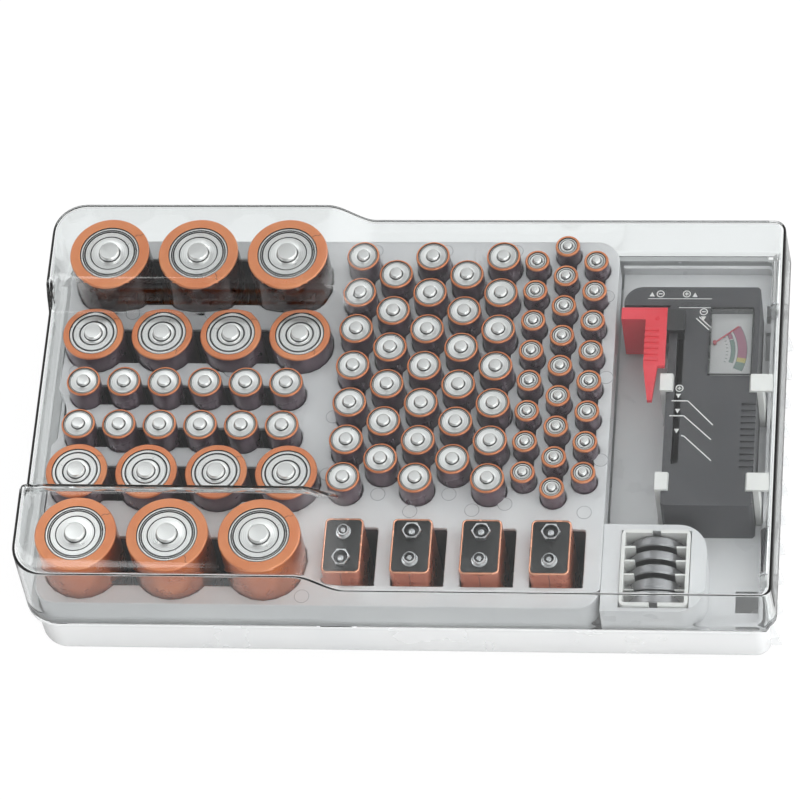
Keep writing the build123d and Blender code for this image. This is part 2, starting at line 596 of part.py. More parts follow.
def lid():
    """The clear cover: shell, rolled hinge edge, and two full knuckles on it."""
    solid = lid_volume(0) - lid_volume(LID_WALL)
    solid -= box(HINGE_X - BARREL_R, LID_RIGHT, -LID_HALF + HINGE_CORNER, LID_HALF - HINGE_CORNER,
                 SEAM_Z, HINGE_Z)
    solid -= box(HINGE_X, LID_RIGHT, -LID_HALF, LID_HALF, SEAM_Z, HINGE_Z)
    solid += lid_roll()
    for centre in KNUCKLE_CENTRES:
        low, high = knuckle_span(centre)
        solid += along_y(HINGE_X, HINGE_Z, low, high, BARREL_R)
    reach = BARREL_R + 1.5
    for low, high in ear_spans():
        solid -= box(HINGE_X - reach, LID_RIGHT, low - HINGE_GAP, high + HINGE_GAP,
                     HINGE_Z - BARREL_R, HINGE_Z + reach)
    for centre in KNUCKLE_CENTRES:
        low, high = knuckle_span(centre)
        solid -= along_y(HINGE_X, HINGE_Z, low, high, PIN_R + PIN_CLEARANCE)
    return solid


# ----------------------------------------------------------------------- tester
def tester_body(z0, z1, t):
    """The tester's plan, t inside its outer face: a long body with a lobe at the rear."""
    left, right = TESTER_LEFT + t, TESTER_RIGHT - t
    front, rear = TESTER_FRONT + t, TESTER_REAR - t
    lobe_left, lobe_front = LOBE_LEFT + t, LOBE_FRONT + t
    points = [(left, front), (right, front), (right, rear), (lobe_left, rear),
              (lobe_left, lobe_front), (left, lobe_front)]
    outline = make_face(Polyline(*points, close=True))
    lobe = [v for v in outline.vertices() if v.X < lobe_left + 0.01 and v.Y > rear - 0.01]
    outline = fillet(lobe, LOBE_CORNER - t)
    plain = [v for v in outline.vertices() if v.Y < front + 0.01 or v.X > right - 0.01]
    outline = chamfer(plain, TESTER_CORNER * CHAMFER_SHARE)
    return at(0, 0, z0) * extrude(outline, z1 - z0)


def screw_places():
    return [(TESTER_LEFT + SCREW_INSET, TESTER_FRONT + SCREW_INSET),
            (TESTER_RIGHT - SCREW_INSET, TESTER_FRONT + SCREW_INSET),
            (TESTER_RIGHT - SCREW_INSET, TESTER_REAR - SCREW_INSET),
            (LOBE_LEFT + LOBE_CORNER, TESTER_REAR - SCREW_INSET)]


def snap_contact_places():
    """Where the two contacts for a 9 V cell stand in the rear wall."""
    middle = TESTER_LEFT
    return [middle - SNAP_SPACING / 2, middle + SNAP_SPACING / 2]


def tester_case():
    """The tester's lower moulding, open at the top, with four screw posts."""
    solid = tester_body(TESTER_BOTTOM, TESTER_SPLIT, 0)
    solid -= tester_body(TESTER_BOTTOM + TESTER_WALL, TESTER_SPLIT, TESTER_WALL)
    for x, y in screw_places():
        solid += upright(x, y, TESTER_BOTTOM + TESTER_WALL / 2, TESTER_SPLIT, BOSS_R, SMALL_SIDES)
        solid -= upright(x, y, TESTER_BOTTOM, TESTER_SPLIT, SCREW_R, SMALL_SIDES)
        solid -= upright(x, y, TESTER_BOTTOM, TESTER_BOTTOM + SCREW_SUNK + SCREW_HEAD_HEIGHT,
                         SCREW_HEAD_R, SMALL_SIDES)
    for x in snap_contact_places():
        solid -= along_y(x, SNAP_CONTACT_Z, TESTER_REAR - TESTER_WALL, TESTER_REAR, SNAP_CONTACT_R,
                         SMALL_SIDES)
    return solid


def tester_cover():
    """The tester's top moulding: meter opening, slot for the arm's shoe and a grip."""
    solid = tester_body(TESTER_SPLIT, TESTER_TOP, 0)
    ceiling = TESTER_TOP - TESTER_WALL
    solid -= tester_body(TESTER_SPLIT, ceiling, TESTER_WALL)
    for x, y in screw_places():
        solid += upright(x, y, TESTER_SPLIT, ceiling, BOSS_R, SMALL_SIDES)
        solid -= upright(x, y, TESTER_SPLIT, ceiling, SCREW_R, SMALL_SIDES)
    wide, deep = METER_SIZE
    reach_x, reach_y = wide / 2 + METER_FIT, deep / 2 + METER_FIT
    solid -= box(METER_X - reach_x, METER_X + reach_x, METER_Y - reach_y, METER_Y + reach_y,
                 TESTER_SPLIT, TESTER_TOP)
    gap = SLOT_CLEARANCE
    solid -= box(SLOT_LEFT, SLOT_LEFT + SLOT_WIDTH, SHOE_REAR - SHOE_LENGTH - ARM_TRAVEL - gap,
                 SHOE_REAR + gap, TESTER_SPLIT, TESTER_TOP)
    solid -= box(LOBE_LEFT, TESTER_LEFT, LOBE_FRONT, LOBE_FRONT + LOBE_LEDGE,
                 TESTER_TOP - LOBE_LEDGE_DROP, TESTER_TOP)
    for i in range(GRIP_COUNT):
        y = GRIP_REAR - i * GRIP_STEP
        solid -= box(TESTER_RIGHT - GRIP_WIDTH, TESTER_RIGHT, y - GRIP_STEP / 4, y + GRIP_STEP / 4,
                     TESTER_TOP - GRIP_DEPTH, TESTER_TOP)
    return solid


def tester_screws():
    screws = []
    z = TESTER_BOTTOM + SCREW_SUNK
    for x, y in screw_places():
        shank = upright(x, y, z, TESTER_TOP - TESTER_WALL, SCREW_R, SMALL_SIDES)
        head = upright(x, y, z, z + SCREW_HEAD_HEIGHT, SCREW_HEAD_R, SMALL_SIDES)
        screws.append(shank + head)
    return screws


def snap_contacts():
    """Two flanged studs through the rear wall for the ends of a 9 V cell."""
    studs = []
    inner = TESTER_REAR - TESTER_WALL
    for x in snap_contact_places():
        stud = along_y(x, SNAP_CONTACT_Z, inner, TESTER_REAR + CONTACT_THICK, SNAP_CONTACT_R,
                       SMALL_SIDES)
        stud += along_y(x, SNAP_CONTACT_Z, inner - CONTACT_THICK, inner,
                        SNAP_CONTACT_R + SNAP_CONTACT_FLANGE, SMALL_SIDES)
        studs.append(stud)
    return studs


def meter_window():
    """The clear cap over the dial: a roof and four thin walls."""
    wide, deep = METER_SIZE
    x0, x1 = METER_X - wide / 2, METER_X + wide / 2
    y0, y1 = METER_Y - deep / 2, METER_Y + deep / 2
    top = TESTER_TOP + METER_RISE
    wall = METER_WALL
    cap = box(x0, x1, y0, y1, YOKE_TOP, top)
    return cap - box(x0 + wall, x1 - wall, y0 + wall, y1 - wall, YOKE_TOP, top - METER_ROOF)


def meter_dial():
    """The printed face under the needle, with a hole for the arbor."""
    wide, deep = METER_SIZE
    reach_x, reach_y = wide / 2 - METER_WALL, deep / 2 - METER_WALL
    solid = box(METER_X - reach_x, METER_X + reach_x, METER_Y - reach_y, METER_Y + reach_y,
                YOKE_TOP, DIAL_TOP)
    return solid - upright(PIVOT_X, PIVOT_Y, YOKE_TOP, DIAL_TOP, HUB_R)


def meter_yoke():
    """The magnet frame round the coil, with a bearing above and below it."""
    long, deep = YOKE_SIZE
    x0 = PIVOT_X - YOKE_LEFT
    solid = box(x0, x0 + long, PIVOT_Y - deep / 2, PIVOT_Y + deep / 2, YOKE_BOTTOM, YOKE_TOP)
    room = COIL_R + COIL_ROOM
    solid -= box(x0, x0 + long, PIVOT_Y - room, PIVOT_Y + room, YOKE_BOTTOM + YOKE_PLATE,
                 YOKE_TOP - YOKE_PLATE)
    return solid - upright(PIVOT_X, PIVOT_Y, YOKE_BOTTOM + YOKE_PLATE / 4, YOKE_TOP,
                           ARBOR_R + BEARING_CLEARANCE)


def meter_coil():
    """The arbor with the coil wound on it."""
    middle = (YOKE_BOTTOM + YOKE_TOP) / 2
    arbor = upright(PIVOT_X, PIVOT_Y, YOKE_BOTTOM + YOKE_PLATE / 2, NEEDLE_Z, ARBOR_R)
    half = COIL_HEIGHT / 2
    return arbor + upright(PIVOT_X, PIVOT_Y, middle - half, middle + half, COIL_R, COIN_SIDES)


def meter_needle():
    """The pointer on its hub, at its resting angle."""
    blade = box(0, NEEDLE_LENGTH, -NEEDLE_WIDTH / 2, NEEDLE_WIDTH / 2, 0, NEEDLE_THICK)
    blade = at(PIVOT_X, PIVOT_Y, NEEDLE_Z) * Rot(0, 0, NEEDLE_ANGLE) * blade
    return blade + upright(PIVOT_X, PIVOT_Y, NEEDLE_Z, NEEDLE_Z + HUB_HEIGHT, HUB_R)


def slider_arm():
    """The sliding arm: an L of plate, a deep pusher, thumb ribs and a drooping tip."""
    solid = box(ARM_LEFT, ARM_RIGHT, ARM_BAR_FRONT, ARM_REAR, ARM_BOTTOM, ARM_TOP)
    solid += box(ARM_RIB_LEFT, ARM_RIGHT, ARM_FRONT, ARM_REAR, ARM_BOTTOM, ARM_TOP)
    pusher = box(ARM_LEFT, PUSHER_RIGHT, ARM_BAR_FRONT, ARM_REAR, PUSHER_BOTTOM, ARM_BOTTOM)
    wall = PUSHER_WALL
    pusher -= box(ARM_LEFT + wall, PUSHER_RIGHT - wall, ARM_BAR_FRONT + wall, ARM_REAR - wall,
                  PUSHER_BOTTOM, ARM_BOTTOM)
    solid += pusher
    for i in range(THUMB_COUNT):
        rib = Rot(0, 90, 0) * bar(THUMB_RIGHT - ARM_RIB_LEFT, THUMB_R, SMALL_SIDES)
        solid += at(ARM_RIB_LEFT, THUMB_REAR - i * THUMB_STEP, ARM_TOP) * rib
    plan = [(ARM_RIB_LEFT, ARM_FRONT), (THUMB_RIGHT, ARM_FRONT), (TIP_X + TIP_HALF, TIP_Y),
            (TIP_X - TIP_HALF, TIP_Y)]
    outline = make_face(Polyline(*plan, close=True))
    tip = at(0, 0, ARM_BOTTOM - TIP_DROP) * extrude(outline, ARM_THICK + TIP_DROP)
    middle = (ARM_FRONT + TIP_Y) / 2
    droop = [(ARM_FRONT, ARM_BOTTOM), (ARM_FRONT, ARM_TOP), (middle, ARM_TOP - TIP_DROP / 4),
             (TIP_Y, ARM_TOP - TIP_DROP), (TIP_Y, ARM_BOTTOM - TIP_DROP),
             (middle, ARM_BOTTOM - TIP_DROP / 2)]
    return solid + (tip & prism_x(droop, ARM_LEFT, ARM_RIGHT))


def slider_shoe():
    """The dark foot beside the arm that runs in the tester's slot."""
    front, rear = SHOE_REAR - SHOE_LENGTH, SHOE_REAR
    left = SLOT_LEFT + SLOT_CLEARANCE
    right = SLOT_LEFT + SLOT_WIDTH - SLOT_CLEARANCE
    under = TESTER_TOP - TESTER_WALL - SLOT_CLEARANCE
    solid = box(ARM_RIGHT, right + SHOE_FLARE, front, rear, ARM_BOTTOM, ARM_TOP)
    solid += box(left, right, front, rear, under - SHOE_HEAD, ARM_BOTTOM)
    return solid + box(left - SHOE_FLARE, right + SHOE_FLARE, front, rear, under - SHOE_HEAD, under)


def contact_strip(y):
    """A springy metal strip that one end of a cell touches."""
    return box(ARM_LEFT + CONTACT_INSET, PUSHER_RIGHT - CONTACT_INSET, y, y + CONTACT_THICK,
               PUSHER_BOTTOM + CONTACT_INSET / 2, TESTER_SPLIT - CONTACT_INSET / 2)


def load_board():
    """The circuit board with its load resistor."""
    floor = TESTER_BOTTOM + TESTER_WALL
    board = box(*BOARD_X, *BOARD_Y, floor, floor + BOARD_THICK)
    return board + along_y(RESISTOR_X, floor + BOARD_THICK + RESISTOR_R * 0.9, *RESISTOR_Y, RESISTOR_R)


def main():
    os.makedirs("parts", exist_ok=True)
    save("base_tray", base_tray())
    save("hinge_pins", hinge_pins())
    save("lid", lid())
    save("cell_deck", cell_deck())
    save("tester_tray", tester_tray())
    save("tester_clips", tester_clips())
    save("coin_holder", coin_holder())
    save("coin_cells", coin_cells())
    save("d_cells", cells_of(D_TROUGHS, D_CELL))
    save("c_cells", cells_of(C_TROUGHS, C_CELL))
    save("aa_cells", cells_of(AA_ROW_TROUGHS + AA_BLOCK_TROUGHS, AA_CELL))
    save("aaa_cells", cells_of(AAA_TROUGHS, AAA_CELL, AAA_SEAT))
    save("nine_volt_cans", [nine_volt_can(i) for i in range(NINE_COUNT)])
    save("nine_volt_caps", [nine_volt_cap(i) for i in range(NINE_COUNT)])
    save("nine_volt_snaps", [snap for i in range(NINE_COUNT) for snap in nine_volt_snaps(i)])
    save("tester_case", tester_case())
    save("tester_cover", tester_cover())
    save("tester_screws", tester_screws())
    save("snap_contacts", snap_contacts())
    save("load_board", load_board())
    save("meter_window", meter_window())
    save("meter_dial", meter_dial())
    save("meter_yoke", meter_yoke())
    save("meter_coil", meter_coil())
    save("meter_needle", meter_needle())
    save("slider_arm", slider_arm())
    save("slider_shoe", slider_shoe())
    save("slider_contact", contact_strip(ARM_REAR))
    save("lobe_contact", contact_strip(LOBE_FRONT - CONTACT_THICK))


main()
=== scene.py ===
# %% [markdown]
# # A battery storage case, dressed for a studio photograph
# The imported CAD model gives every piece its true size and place. This notebook swaps the
# pieces whose beauty is in round, soft or glossy form for finer meshes, gives every other
# piece a finish, and sets up the camera, the floor and the light.

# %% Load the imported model
import math

import bpy
from mathutils import Matrix, Vector


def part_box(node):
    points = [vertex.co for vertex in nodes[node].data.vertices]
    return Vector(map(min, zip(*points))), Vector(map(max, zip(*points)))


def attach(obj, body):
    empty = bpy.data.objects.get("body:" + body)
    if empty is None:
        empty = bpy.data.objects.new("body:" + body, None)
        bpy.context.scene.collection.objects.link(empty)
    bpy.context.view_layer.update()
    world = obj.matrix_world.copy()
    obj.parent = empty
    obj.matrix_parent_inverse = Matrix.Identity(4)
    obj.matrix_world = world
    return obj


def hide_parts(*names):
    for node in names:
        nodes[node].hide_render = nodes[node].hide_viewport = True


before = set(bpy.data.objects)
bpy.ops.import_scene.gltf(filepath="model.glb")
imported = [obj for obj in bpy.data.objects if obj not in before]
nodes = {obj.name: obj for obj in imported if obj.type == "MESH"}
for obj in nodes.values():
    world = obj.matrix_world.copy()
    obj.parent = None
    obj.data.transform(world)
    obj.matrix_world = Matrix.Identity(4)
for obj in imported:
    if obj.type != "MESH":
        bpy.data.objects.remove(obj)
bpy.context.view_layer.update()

# %% [markdown]
# Everything below is thought out in millimetres, as on a drawing. One factor turns them to
# Blender's metres when a mesh is made.

# %% Units and the small mesh helpers
MM = 0.001
PLATE_CREASE = 40.0


def new_mesh(name, points, faces, materials, face_materials=None, crease=35.0):
    """A smooth mesh from points in millimetres, which stays sharp at edges past the crease."""
    mesh = bpy.data.meshes.new(name)
    mesh.from_pydata([(x * MM, y * MM, z * MM) for x, y, z in points], [], faces)
    for material in materials:
        mesh.materials.append(material)
    if face_materials:
        mesh.polygons.foreach_set("material_index", face_materials)
    mesh.shade_smooth()
    mesh.set_sharp_from_angle(angle=math.radians(crease))
    return mesh


def place_piece(name, mesh, body, stands_for=(), matrix=None):
    """Puts a mesh into the scene, hangs it on the body it rides on, and hides the CAD nodes it stands for."""
    piece = bpy.data.objects.new(name, mesh)
    bpy.context.scene.collection.objects.link(piece)
    if matrix is not None:
        piece.matrix_world = matrix
    bpy.context.view_layer.update()
    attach(piece, body)
    if stands_for:
        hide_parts(*stands_for)
    return piece


def make_piece(name, points, faces, body, materials, face_materials=None, crease=35.0,
               stands_for=()):
    """A mesh object from points in millimetres, which rides on a body of the frame."""
    mesh = new_mesh(name, points, faces, materials, face_materials, crease)
    mesh.validate()
    return place_piece(name, mesh, body, stands_for)


def evaluated_mesh(shape):
    """The mesh that an object shows with its modifiers or its curve settings applied."""
    bpy.context.view_layer.update()
    shown = shape.evaluated_get(bpy.context.evaluated_depsgraph_get())
    return bpy.data.meshes.new_from_object(shown)


def skin(loops, first_closed=True, last_closed=True):
    """Faces and points that join a stack of closed loops, with the same count in each."""
    count = len(loops[0])
    points = [point for loop in loops for point in loop]
    faces = []
    for k in range(len(loops) - 1):
        for i in range(count):
            j = (i + 1) % count
            faces.append((k * count + i, k * count + j, (k + 1) * count + j, (k + 1) * count + i))
    if first_closed:
        faces.append(tuple(reversed(range(count))))
    if last_closed:
        faces.append(tuple((len(loops) - 1) * count + i for i in range(count)))
    return points, faces


def circle_loop(radius, z, sides):
    """A level circle round the origin."""
    turn = 2 * math.pi / sides
    return [(radius * math.cos(i * turn), radius * math.sin(i * turn), z) for i in range(sides)]


def lathe(profile, sides):
    """Points, faces and face materials of a turned form; a profile point is (radius, z, material)."""
    loops = [circle_loop(radius, z, sides) for radius, z, _ in profile]
    points, faces = skin(loops)
    indices = []
    for _, _, material in profile[1:]:
        indices += [material] * sides
    return points, faces, indices + [profile[0][2], profile[-1][2]]


def rounded_box_loop(x0, x1, y0, y1, left_radius, z, steps=6, right_radius=None):
    """One level of a box with rounded plan corners, which may be tighter at the right end."""
    left, right = left_radius, left_radius if right_radius is None else right_radius
    corners = ((x1 - right, y1 - right, right, 0), (x0 + left, y1 - left, left, 90),
               (x0 + left, y0 + left, left, 180), (x1 - right, y0 + right, right, 270))
    loop = []
    for cx, cy, radius, start in corners:
        for i in range(steps + 1):
            angle = math.radians(start + 90 * i / steps)
            loop.append((cx + radius * math.cos(angle), cy + radius * math.sin(angle), z))
    return loop


def filled_plate(name, loops, bottom, top, edge, body, material, stands_for=()):
    """A flat plate from closed lines: the first is its border, the others are holes."""
    outline = bpy.data.curves.new(name, "CURVE")
    outline.dimensions = "2D"
    outline.fill_mode = "BOTH"
    outline.extrude = ((top - bottom) / 2 - edge) * MM
    outline.bevel_depth = edge * MM
    outline.bevel_resolution = 2
    outline.offset = -edge * MM
    for loop in loops:
        spline = outline.splines.new("POLY")
        spline.points.add(len(loop) - 1)
        for point, (x, y) in zip(spline.points, loop):
            point.co = (x * MM, y * MM, 0.0, 1.0)
        spline.use_cyclic_u = True
    shape = bpy.data.objects.new(name, outline)
    bpy.context.scene.collection.objects.link(shape)
    mesh = evaluated_mesh(shape)
    bpy.data.objects.remove(shape)
    mesh.transform(Matrix.Translation((0, 0, (top + bottom) / 2 * MM)))
    mesh.materials.clear()
    mesh.materials.append(material)
    mesh.shade_smooth()
    mesh.set_sharp_from_angle(angle=math.radians(PLATE_CREASE))
    return place_piece(name, mesh, body, stands_for)


# %% [markdown]
# ## Camera
# A very long lens at a steep angle, rolled a little, gives the product photograph's look.
# The tops of the cells have known diameters, so their ellipses give the scale. They leave
# the tilt and the roll open over several degrees, as each can be traded against the lens.
# These two were chosen, and the lens and the place were fitted round them.

# %% Camera
SENSOR = 36.0
PHOTO_SIDE = 800
FOCAL_PIXELS = 5029.98
CAMERA_PLACE = Vector((274.40, -1070.45, 1823.83)) * MM
YAW, ELEVATION, ROLL = math.radians(-14.482), math.radians(58.0), math.radians(-12.0)

back = Vector((-math.sin(YAW) * math.cos(ELEVATION), -math.cos(YAW) * math.cos(ELEVATION),
               math.sin(ELEVATION)))
right = Vector((math.cos(YAW), -math.sin(YAW), 0.0))
up = back.cross(right)
camera_x = math.cos(ROLL) * right + math.sin(ROLL) * up
camera_y = -math.sin(ROLL) * right + math.cos(ROLL) * up
camera_data = bpy.data.cameras.new("camera")
camera_data.sensor_width = SENSOR
camera_data.lens = FOCAL_PIXELS / PHOTO_SIDE * SENSOR
camera_data.clip_end = 20.0
camera = bpy.data.objects.new("camera", camera_data)
camera.matrix_world = Matrix.Translation(CAMERA_PLACE) @ Matrix(
    (camera_x, camera_y, back)).transposed().to_4x4()
bpy.context.scene.collection.objects.link(camera)
bpy.context.scene.camera = camera
bpy.context.scene.view_settings.view_transform = "Standard"
print("lens", round(camera_data.lens, 1), "mm")

# %% [markdown]
# ## Material helpers
# Colours are written as the sRGB hex that a colour picker shows, and one function turns
# them to the linear values that the shader works in. One more adds a node with its
# settings and links.

# %% Colours and nodes


def colour(hex_text):
    """An sRGB hex colour as linear RGBA."""
    channels = [int(hex_text[i:i + 2], 16) / 255 for i in (1, 3, 5)]
    linear = [c / 12.92 if c <= 0.04045 else ((c + 0.055) / 1.055) ** 2.4 for c in channels]
    return (*linear, 1.0)


def add_node(tree, kind, inputs=None, **settings):
    """One shader node; an input is a plain value or another node's output."""
    new = tree.nodes.new(kind)
    for name, value in settings.items():
        setattr(new, name, value)
    for key, value in (inputs or {}).items():
        if isinstance(value, bpy.types.NodeSocket):
            tree.links.new(value, new.inputs[key])
        else:
            new.inputs[key].default_value = value
    return new


def blank_material(name):
    """A new material with an empty node tree, and that tree."""
    material = bpy.data.materials.new(name)
    material.use_nodes = True
    material.node_tree.nodes.clear()
    return material, material.node_tree


def per_metre(millimetres):
    """A texture scale whose features are about this large."""
    return 1 / (millimetres * MM)


def drift(tree, size, low, high):
    """A value that wanders between low and high over patches of about this many mm."""
    place = add_node(tree, "ShaderNodeTexCoord").outputs["Object"]
    noise = add_node(tree, "ShaderNodeTexNoise", {"Vector": place, "Scale": per_metre(size), "Detail": 3.0})
    stretched = add_node(tree, "ShaderNodeMapRange", {"Value": noise.outputs["Fac"], "From Min": 0.3,
                                                      "From Max": 0.7, "To Min": low, "To Max": high})
    return stretched.outputs["Result"]


def two_tints(tree, share, first, second):
    """A colour between two hex tints, by a share from 0 to 1."""
    ramp = add_node(tree, "ShaderNodeValToRGB", {"Fac": share})
    ramp.color_ramp.elements[0].color = colour(first)
    ramp.color_ramp.elements[1].color = colour(second)
    return ramp.outputs["Color"]


def grain(tree, size, height):
    """A bump of about this many mm from feature to feature and this many mm high."""
    place = add_node(tree, "ShaderNodeTexCoord").outputs["Object"]
    noise = add_node(tree, "ShaderNodeTexNoise", {"Vector": place, "Scale": per_metre(size), "Detail": 2.0})
    bump = add_node(tree, "ShaderNodeBump", {"Height": noise.outputs["Fac"], "Strength": 1.0,
                                             "Distance": height * MM})
    return bump.outputs["Normal"]


def finish(material, tree, **inputs):
    """Ends a material in one Principled surface."""
    named = {key.replace("_", " "): value for key, value in inputs.items()}
    surface = add_node(tree, "ShaderNodeBsdfPrincipled", named)
    add_node(tree, "ShaderNodeOutputMaterial", {"Surface": surface.outputs["BSDF"]})
    return material


# %% [markdown]
# ## Clear plastics
# The lid is polished clear styrene: it shows mostly as the bright and dark lines where its
# walls turn, so it is real transmission with an even thickness rather than a see-through
# colour. The base is the same plastic from a finely blasted mould. Its skin scatters most
# of the light, so only a quarter of it passes, and the tray looks milky.

# %% Clear styrene lid


def clear_styrene():
    material, tree = blank_material("clear_styrene")
    return finish(material, tree, Base_Color=colour("#FAFCFC"), Roughness=drift(tree, 60, 0.0, 0.02),
                  IOR=1.5, Transmission_Weight=1.0, Normal=grain(tree, 45, 0.012))


clear = clear_styrene()

# %% Frosted base


def frosted_styrene():
    material, tree = blank_material("frosted_styrene")
    tint = two_tints(tree, drift(tree, 40, 0, 1), "#E9EBEC", "#F1F2F2")
    return finish(material, tree, Base_Color=tint, Roughness=drift(tree, 30, 0.2, 0.3), IOR=1.5,
                  Transmission_Weight=0.25, Normal=grain(tree, 9, 0.002))


frosted = frosted_styrene()

# %% [markdown]
# ## Moulded plastics
# The deck is satin styrene in a pale grey, the coin holder and clips a near-white nylon,
# and the tester a dark ABS with a spark-eroded texture of half a millimetre. Each has
# faint patches where the mould cooled unevenly. The wells are the plate's styrene in a much
# darker grey: painted shade, so that they look as deep and unlit as real ones under a lid.

# %% Opaque plastics


def moulded(name, first, second, roughness, grain_size, grain_height):
    material, tree = blank_material(name)
    tint = two_tints(tree, drift(tree, 25, 0, 1), first, second)
    low, high = roughness
    return finish(material, tree, Base_Color=tint, Roughness=drift(tree, 12, low, high), IOR=1.53,
                  Normal=grain(tree, grain_size, grain_height))


deck_grey = moulded("deck_styrene", "#DCDDDF", "#E6E7E8", (0.3, 0.42), 1.0, 0.004)
# Painted shade: a darker grey for the raised rings of the pin marks.
pin_ring_painted_shade = moulded("pin_ring_painted_shade", "#A2A4A8", "#ACAEB1", (0.4, 0.5), 1.0, 0.003)
# Painted shade: the wells' walls and floors are the plate's styrene drawn much darker.
well_painted_shade = moulded("well_painted_shade_styrene", "#4E4F53", "#5C5D61", (0.4, 0.5), 1.0, 0.003)
tray_grey = moulded("tray_styrene", "#E0E1E3", "#E9E9EA", (0.25, 0.38), 1.0, 0.004)
holder_white = moulded("natural_nylon", "#EBEBE8", "#F3F3F1", (0.35, 0.45), 0.8, 0.005)
tester_dark = moulded("textured_abs", "#454548", "#4F4F52", (0.5, 0.62), 0.5, 0.012)
shoe_dark = moulded("plain_abs", "#2C2C2E", "#39393B", (0.4, 0.5), 0.6, 0.008)
arm_red = moulded("red_abs", "#E8303F", "#F04A57", (0.25, 0.35), 0.8, 0.006)
cap_black = moulded("cap_board", "#101011", "#1B1B1C", (0.35, 0.5), 0.5, 0.01)
board_green = moulded("board_laminate", "#2E5A38", "#3B6A44", (0.4, 0.5), 1.0, 0.005)

# %% [markdown]
# ## Metals
# Cell ends are nickel-plated steel, turned by their press tools into fine rings. The rings
# also shift the nickel between a lighter and a darker tint, as painted shading of the
# ridges, and a dark steel in the groove floors is painted shade. A metal keeps the default
# IOR: its colour is its reflection.

# %% Nickel with rings, and plain steels
RING_STEP = 0.8
WAVES_PER_TURN = 20   # a Wave texture of scale 1 repeats twenty times in 2 pi metres


def pressed_nickel():
    material, tree = blank_material("pressed_nickel")
    place = add_node(tree, "ShaderNodeTexCoord").outputs["Object"]
    rings = add_node(tree, "ShaderNodeTexWave",
                     {"Vector": place, "Scale": 2 * math.pi / (WAVES_PER_TURN * RING_STEP * MM),
                      "Distortion": 0.0, "Detail": 0.0}, wave_type="RINGS", rings_direction="Z")
    bump = add_node(tree, "ShaderNodeBump", {"Height": rings.outputs["Fac"], "Strength": 1.0,
                                             "Distance": 0.004 * MM})
    # The rings also lighten and darken the nickel's colour: painted shading of the pressed ridges.
    tint = two_tints(tree, rings.outputs["Fac"], "#D0D0CF", "#E4E4E3")
    return finish(material, tree, Base_Color=tint, Metallic=1.0, Roughness=drift(tree, 6, 0.26, 0.36),
                  Normal=bump.outputs["Normal"])


def plain_metal(name, first, second, roughness):
    material, tree = blank_material(name)
    low, high = roughness
    return finish(material, tree, Base_Color=two_tints(tree, drift(tree, 8, 0, 1), first, second),
                  Metallic=1.0, Roughness=drift(tree, 5, low, high), Normal=grain(tree, 0.6, 0.003))


nickel = pressed_nickel()
# Painted shade: a dark steel for groove floors, the foot of each button and the snaps' hollows.
groove_painted_shade = plain_metal("groove_painted_shade", "#3C3C3D", "#4E4E4F", (0.4, 0.55))
coin_steel = plain_metal("coin_steel", "#88888A", "#9A9A9C", (0.34, 0.44))
bright_steel = plain_metal("bright_steel", "#B9BABC", "#CBCCCD", (0.2, 0.35))
copper_wire = plain_metal("copper_wire", "#B4683F", "#C67B50", (0.3, 0.4))
print("materials so far:", len(bpy.data.materials))

# %% [markdown]
# ## Films and print
# A cell's jacket is a printed plastic film with a metallised copper band that folds over
# the shoulder. The rest of the jacket is dark with a plum sheen, apart from the front
# large cells, whose sides are copper too. Inks are matt films of one colour each.

# %% Jacket films


def film(name, first, second, metallic, roughness):
    material, tree = blank_material(name)
    low, high = roughness
    tint = two_tints(tree, drift(tree, 18, 0, 1), first, second)
    return finish(material, tree, Base_Color=tint, Metallic=metallic, IOR=1.5,
                  Roughness=drift(tree, 9, low, high), Coat_Weight=0.3, Coat_Roughness=0.08,
                  Normal=grain(tree, 8, 0.003))


copper_band = film("copper_film", "#D27543", "#E08E5C", 0.3, (0.3, 0.42))
copper_side = film("copper_side_film", "#B04F12", "#C8681E", 0.8, (0.24, 0.34))
can_film = film("can_film", "#B4644A", "#C27258", 0.5, (0.25, 0.35))
# Painted highlight: a lighter copper on the 9 V cans' rolled rims.
rim_painted_highlight = film("rim_painted_highlight_film", "#E09A78", "#EBAA8A", 0.6, (0.2, 0.3))
plum_jacket = film("plum_film", "#5C4653", "#6E5764", 0.35, (0.25, 0.38))
dark_jacket = film("dark_film", "#2C0C08", "#401610", 0.3, (0.2, 0.3))
seam_dark = film("seam_shadow", "#5A2E1E", "#6E3A26", 0.1, (0.4, 0.5))

# %% Print and paint


def print_ink(name, first, second):
    return film(name, first, second, 0.0, (0.45, 0.6))


white_ink = print_ink("white_ink", "#E4E4E2", "#F0F0EE")
pink_ink = print_ink("pink_ink", "#C2708F", "#CC7F9B")
yellow_ink = print_ink("yellow_ink", "#E5D27A", "#EBDA8C")
green_ink = print_ink("green_ink", "#7F9A90", "#8AA59A")
grey_ink = print_ink("grey_ink", "#5E6B68", "#6C7976")
needle_red = print_ink("needle_red", "#E2495C", "#EA5A6B")
dial_card = moulded("dial_card", "#EDE9EA", "#F3F0F0", (0.55, 0.65), 0.4, 0.003)
print("materials in all:", len(bpy.data.materials))

# %% [markdown]
# ## Lid
# The lid is one thin shell: a low roof with two raised blocks over the tallest cells, walls
# with a little draft, and a soft edge. A grid over the plan follows the roof's height, and
# rings of points round its border turn down into the walls. Offsetting the whole sheet
# inward by the wall's thickness gives the doubled lines that clear plastic shows.

